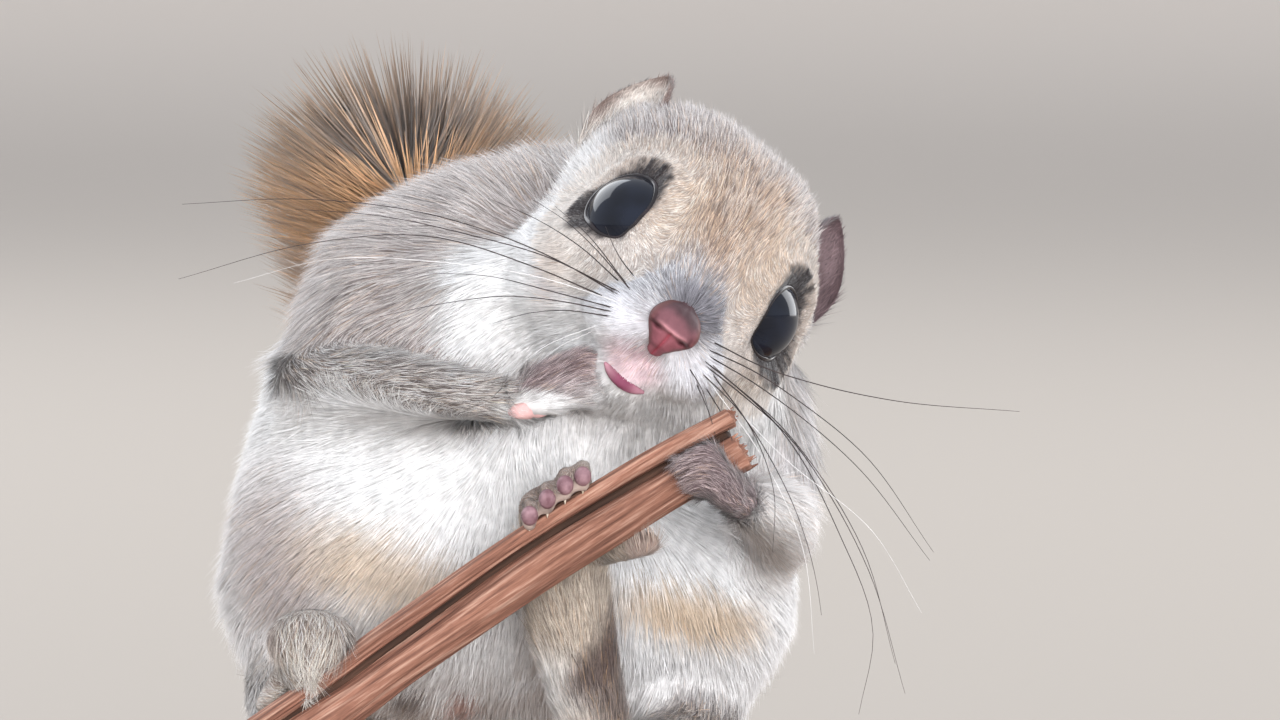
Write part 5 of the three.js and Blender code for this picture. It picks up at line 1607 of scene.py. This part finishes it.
def frayedFibre(strand):
    # one of the broken fibres at the upper end
    a, r = draw.uniform(0, 2 * math.pi), math.sqrt(draw.random())
    at = (stem["bottom"] + stemAlong * (strand["to"] * stemLength - 1.2)
          + stemUp * (strand["up"] - 1.3 + 0.85 * r * strand["radius"] * math.cos(a))
          + stemFront * (strand["front"] + 0.85 * r * strand["radius"] * math.sin(a)))
    way = unit(stemAlong + 0.12 * draw.standard_normal(3))
    long, w = draw.uniform(1.2, 2.2), draw.uniform(0.1, 0.3)
    return limb([at, at + way * long * 0.5, at + way * long],
                [[w, w], [w * 0.9, w * 0.7], [w * 0.3, w * 0.2]], stemUp, 6, 5, 1)


def addStem():
    strands, bow = stemPlan["strands"], smoothCurve(stemPlan["bow"], 80)
    parts = [stemStrand(number, strand, bow) for number, strand in enumerate(strands)]
    parts += [frayedFibre(strands[0] if k % 3 else strands[1]) for k in range(stemPlan["frayed"])]
    piece = addMesh("stem_wood", *joinParts(parts), stemWood)
    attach(piece, "root")
    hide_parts("perch_stem")
    # a dark core in the split between the two strands: painted shade of the gap
    split = stemPlan["split"]
    t = np.linspace(split["from"], split["to"], split["rings"])
    centre = stem["bottom"] + stemAlong * (t * stemLength)[:, None] - stemFront * split["behind"]
    centre = centre + stemUp * (split["up"] + np.interp(t, bow[:, 0], bow[:, 1]))[:, None]
    wide = np.repeat((stemUp * split["wide"])[None], len(t), 0)
    deep = np.repeat((stemFront * split["deep"])[None], len(t), 0)
    groove = addMesh("stem_split_shade", *ringTube(centre, wide, deep, 10, 2), splitShadeWood)
    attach(groove, "root")


# near-black wood for the split's core, painted shade deep in the gap
splitShadeWood = woodMaterial("paintedSplitShade", colour(34, 24, 20), colour(58, 42, 34), colour(88, 62, 50), stemAlong)
addStem()
print("stem made")

# display stand
baseWood = woodMaterial("turnedBase", colour(92, 66, 48), colour(138, 104, 76), colour(170, 134, 100),
                        (1, 0, 0), 0.12, 0.38)


def rodMaterial():
    material, tree, shader = newMaterial("brushedSteel", Roughness=0.32, Metallic=1.0)
    brush = addNoise(tree, 2600.0, 3.0)
    tone = ramp(tree, brush, [(0.3, (0.42, 0.42, 0.43)), (0.7, (0.58, 0.58, 0.58))])
    tree.links.new(tone, shader.inputs["Base Color"])
    addBump(tree, shader, brush, 0.1, 0.0001)
    return material


standBase = {"radius": 52, "thickness": 8, "edge": 1.2, "around": 160}


def addBase():
    r, h, e = standBase["radius"], standBase["thickness"], standBase["edge"]
    bend = [(r - e + e * math.sin(a), e - e * math.cos(a)) for a in np.linspace(0, math.pi / 2, 6)]
    top = [(r - e + e * math.cos(a), h - e + e * math.sin(a)) for a in np.linspace(0, math.pi / 2, 6)]
    profile = [(r * 0.5, 0), (r - e - 0.5, 0)] + bend + top
    profile += [(r - e - 0.6, h), (r * 0.8, h), (r * 0.4, h)]
    around = standBase["around"]
    a = np.linspace(0, 2 * math.pi, around, endpoint=False)
    p = np.array([[x * np.cos(a), x * np.sin(a), np.full(around, z)] for x, z in profile]).transpose(0, 2, 1)
    p = np.concatenate([p.reshape(-1, 3), [[0, 0, 0], [0, 0, h]]])
    piece = addMesh("stand_disc", p, tubeFaces(len(profile), around), baseWood)
    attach(piece, "root")
    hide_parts("stand_base")


addBase()
steel = rodMaterial()
for name in ("stand_rod_body", "stand_rod_perch"):
    rod = cadNodes[name]
    rod.data.materials.clear()
    rod.data.materials.append(steel)
print("stand made")

# floor, backdrop, lights and camera
stage = {
    "near": (*colour(164, 156, 147), 1), "far": (*colour(228, 219, 209), 1),
    # where the tone starts to change and where it has changed, in metres
    "from": 0.3, "to": 5.2,
    "front": -6000, "back": 4500, "bend": 1500, "top": 5000, "side": 7000,
}


def addStage():
    # floor and backdrop in one sheet with a wide bend
    back, bend, side = stage["back"], stage["bend"], stage["side"]
    profile = [(stage["front"], 0), (back, 0)]
    profile += [(back + bend * math.sin(a), bend - bend * math.cos(a))
                for a in np.linspace(0, math.pi / 2, 40)]
    profile += [(back + bend, stage["top"])]
    p = np.array([[x, y, z] for y, z in profile for x in (-side, side)], float)
    tri = []
    for k in range(len(profile) - 1):
        a = 2 * k
        tri += [[a, a + 1, a + 3], [a, a + 3, a + 2]]
    material, tree, shader = newMaterial("paleSweep", Roughness=0.9)
    place = addNode(tree, "TexCoord")
    split = addNode(tree, "SeparateXYZ")
    tree.links.new(place.outputs["Object"], split.inputs["Vector"])
    reach = addNode(tree, "MapRange", interpolation_type="SMOOTHSTEP")
    for socket, value in (("From Min", stage["from"]), ("From Max", stage["to"])):
        reach.inputs[socket].default_value = value
    tree.links.new(split.outputs["Y"], reach.inputs["Value"])
    tone = mixColours(tree, "MIX", reach.outputs["Result"], stage["near"], stage["far"])
    tree.links.new(tone, shader.inputs["Base Color"])
    sheet = addMesh("pale_sweep", p, np.array(tri), material)


addStage()


lights = {
    # place and size in metres, power in watts, colour, and whether glossy surfaces mirror it
    "skyPanel": ((-0.85, 0.95, 1.0), (1.5, 1.1), 18.0, (0.93, 0.96, 1.0), True),
    "sidePanel": ((1.15, 0.75, 0.45), (0.9, 1.1), 14.0, (0.97, 0.98, 1.0), True),
    "frontPanel": ((0.1, -1.65, 0.55), (2.2, 1.0), 29.0, (0.97, 0.98, 1.0), False),
    "lowPanel": ((0.3, -1.0, 0.1), (0.9, 0.16), 8.5, (0.94, 0.96, 1.0), False),
}
lightsAim = (0.0, -0.01, 0.05)
room = {"colour": (0.86, 0.9, 0.98, 1), "strength": 0.95}


def addLight(name, place, size, power, tone, mirrored):
    lamp = bpy.data.lights.new(name, "AREA")
    lamp.shape = "RECTANGLE"
    lamp.size, lamp.size_y = size
    lamp.energy = power
    lamp.color = tone
    holder = bpy.data.objects.new(name, lamp)
    holder.location = place
    holder.rotation_euler = (Vector(lightsAim) - Vector(place)).to_track_quat("-Z", "Y").to_euler()
    holder.visible_camera = False
    holder.visible_glossy = mirrored
    scene.collection.objects.link(holder)


for name, settings in lights.items():
    addLight(name, *settings)
world = bpy.data.worlds.new("softRoom")
world.use_nodes = True
world.node_tree.nodes["Background"].inputs["Color"].default_value = room["colour"]
world.node_tree.nodes["Background"].inputs["Strength"].default_value = room["strength"]
scene.world = world
scene.view_settings.view_transform = "Standard"

# the camera sees a width of 0.128 m at the target
view = {"target": vec(0.008, -0.015, 0.057), "distance": 1.5, "elevation": 2.5, "width": 0.128, "sensor": 36}
lens = bpy.data.cameras.new("camera")
lens.sensor_width = view["sensor"]
lens.lens = view["sensor"] * view["distance"] / view["width"]
lens.clip_end = 20
camera = bpy.data.objects.new("camera", lens)
rise = math.radians(view["elevation"])
camera.location = view["target"] + view["distance"] * vec(0, -math.cos(rise), math.sin(rise))
camera.rotation_euler = (math.pi / 2 - rise, 0, 0)
scene.collection.objects.link(camera)
scene.camera = camera
print("stage, lights and camera ready")
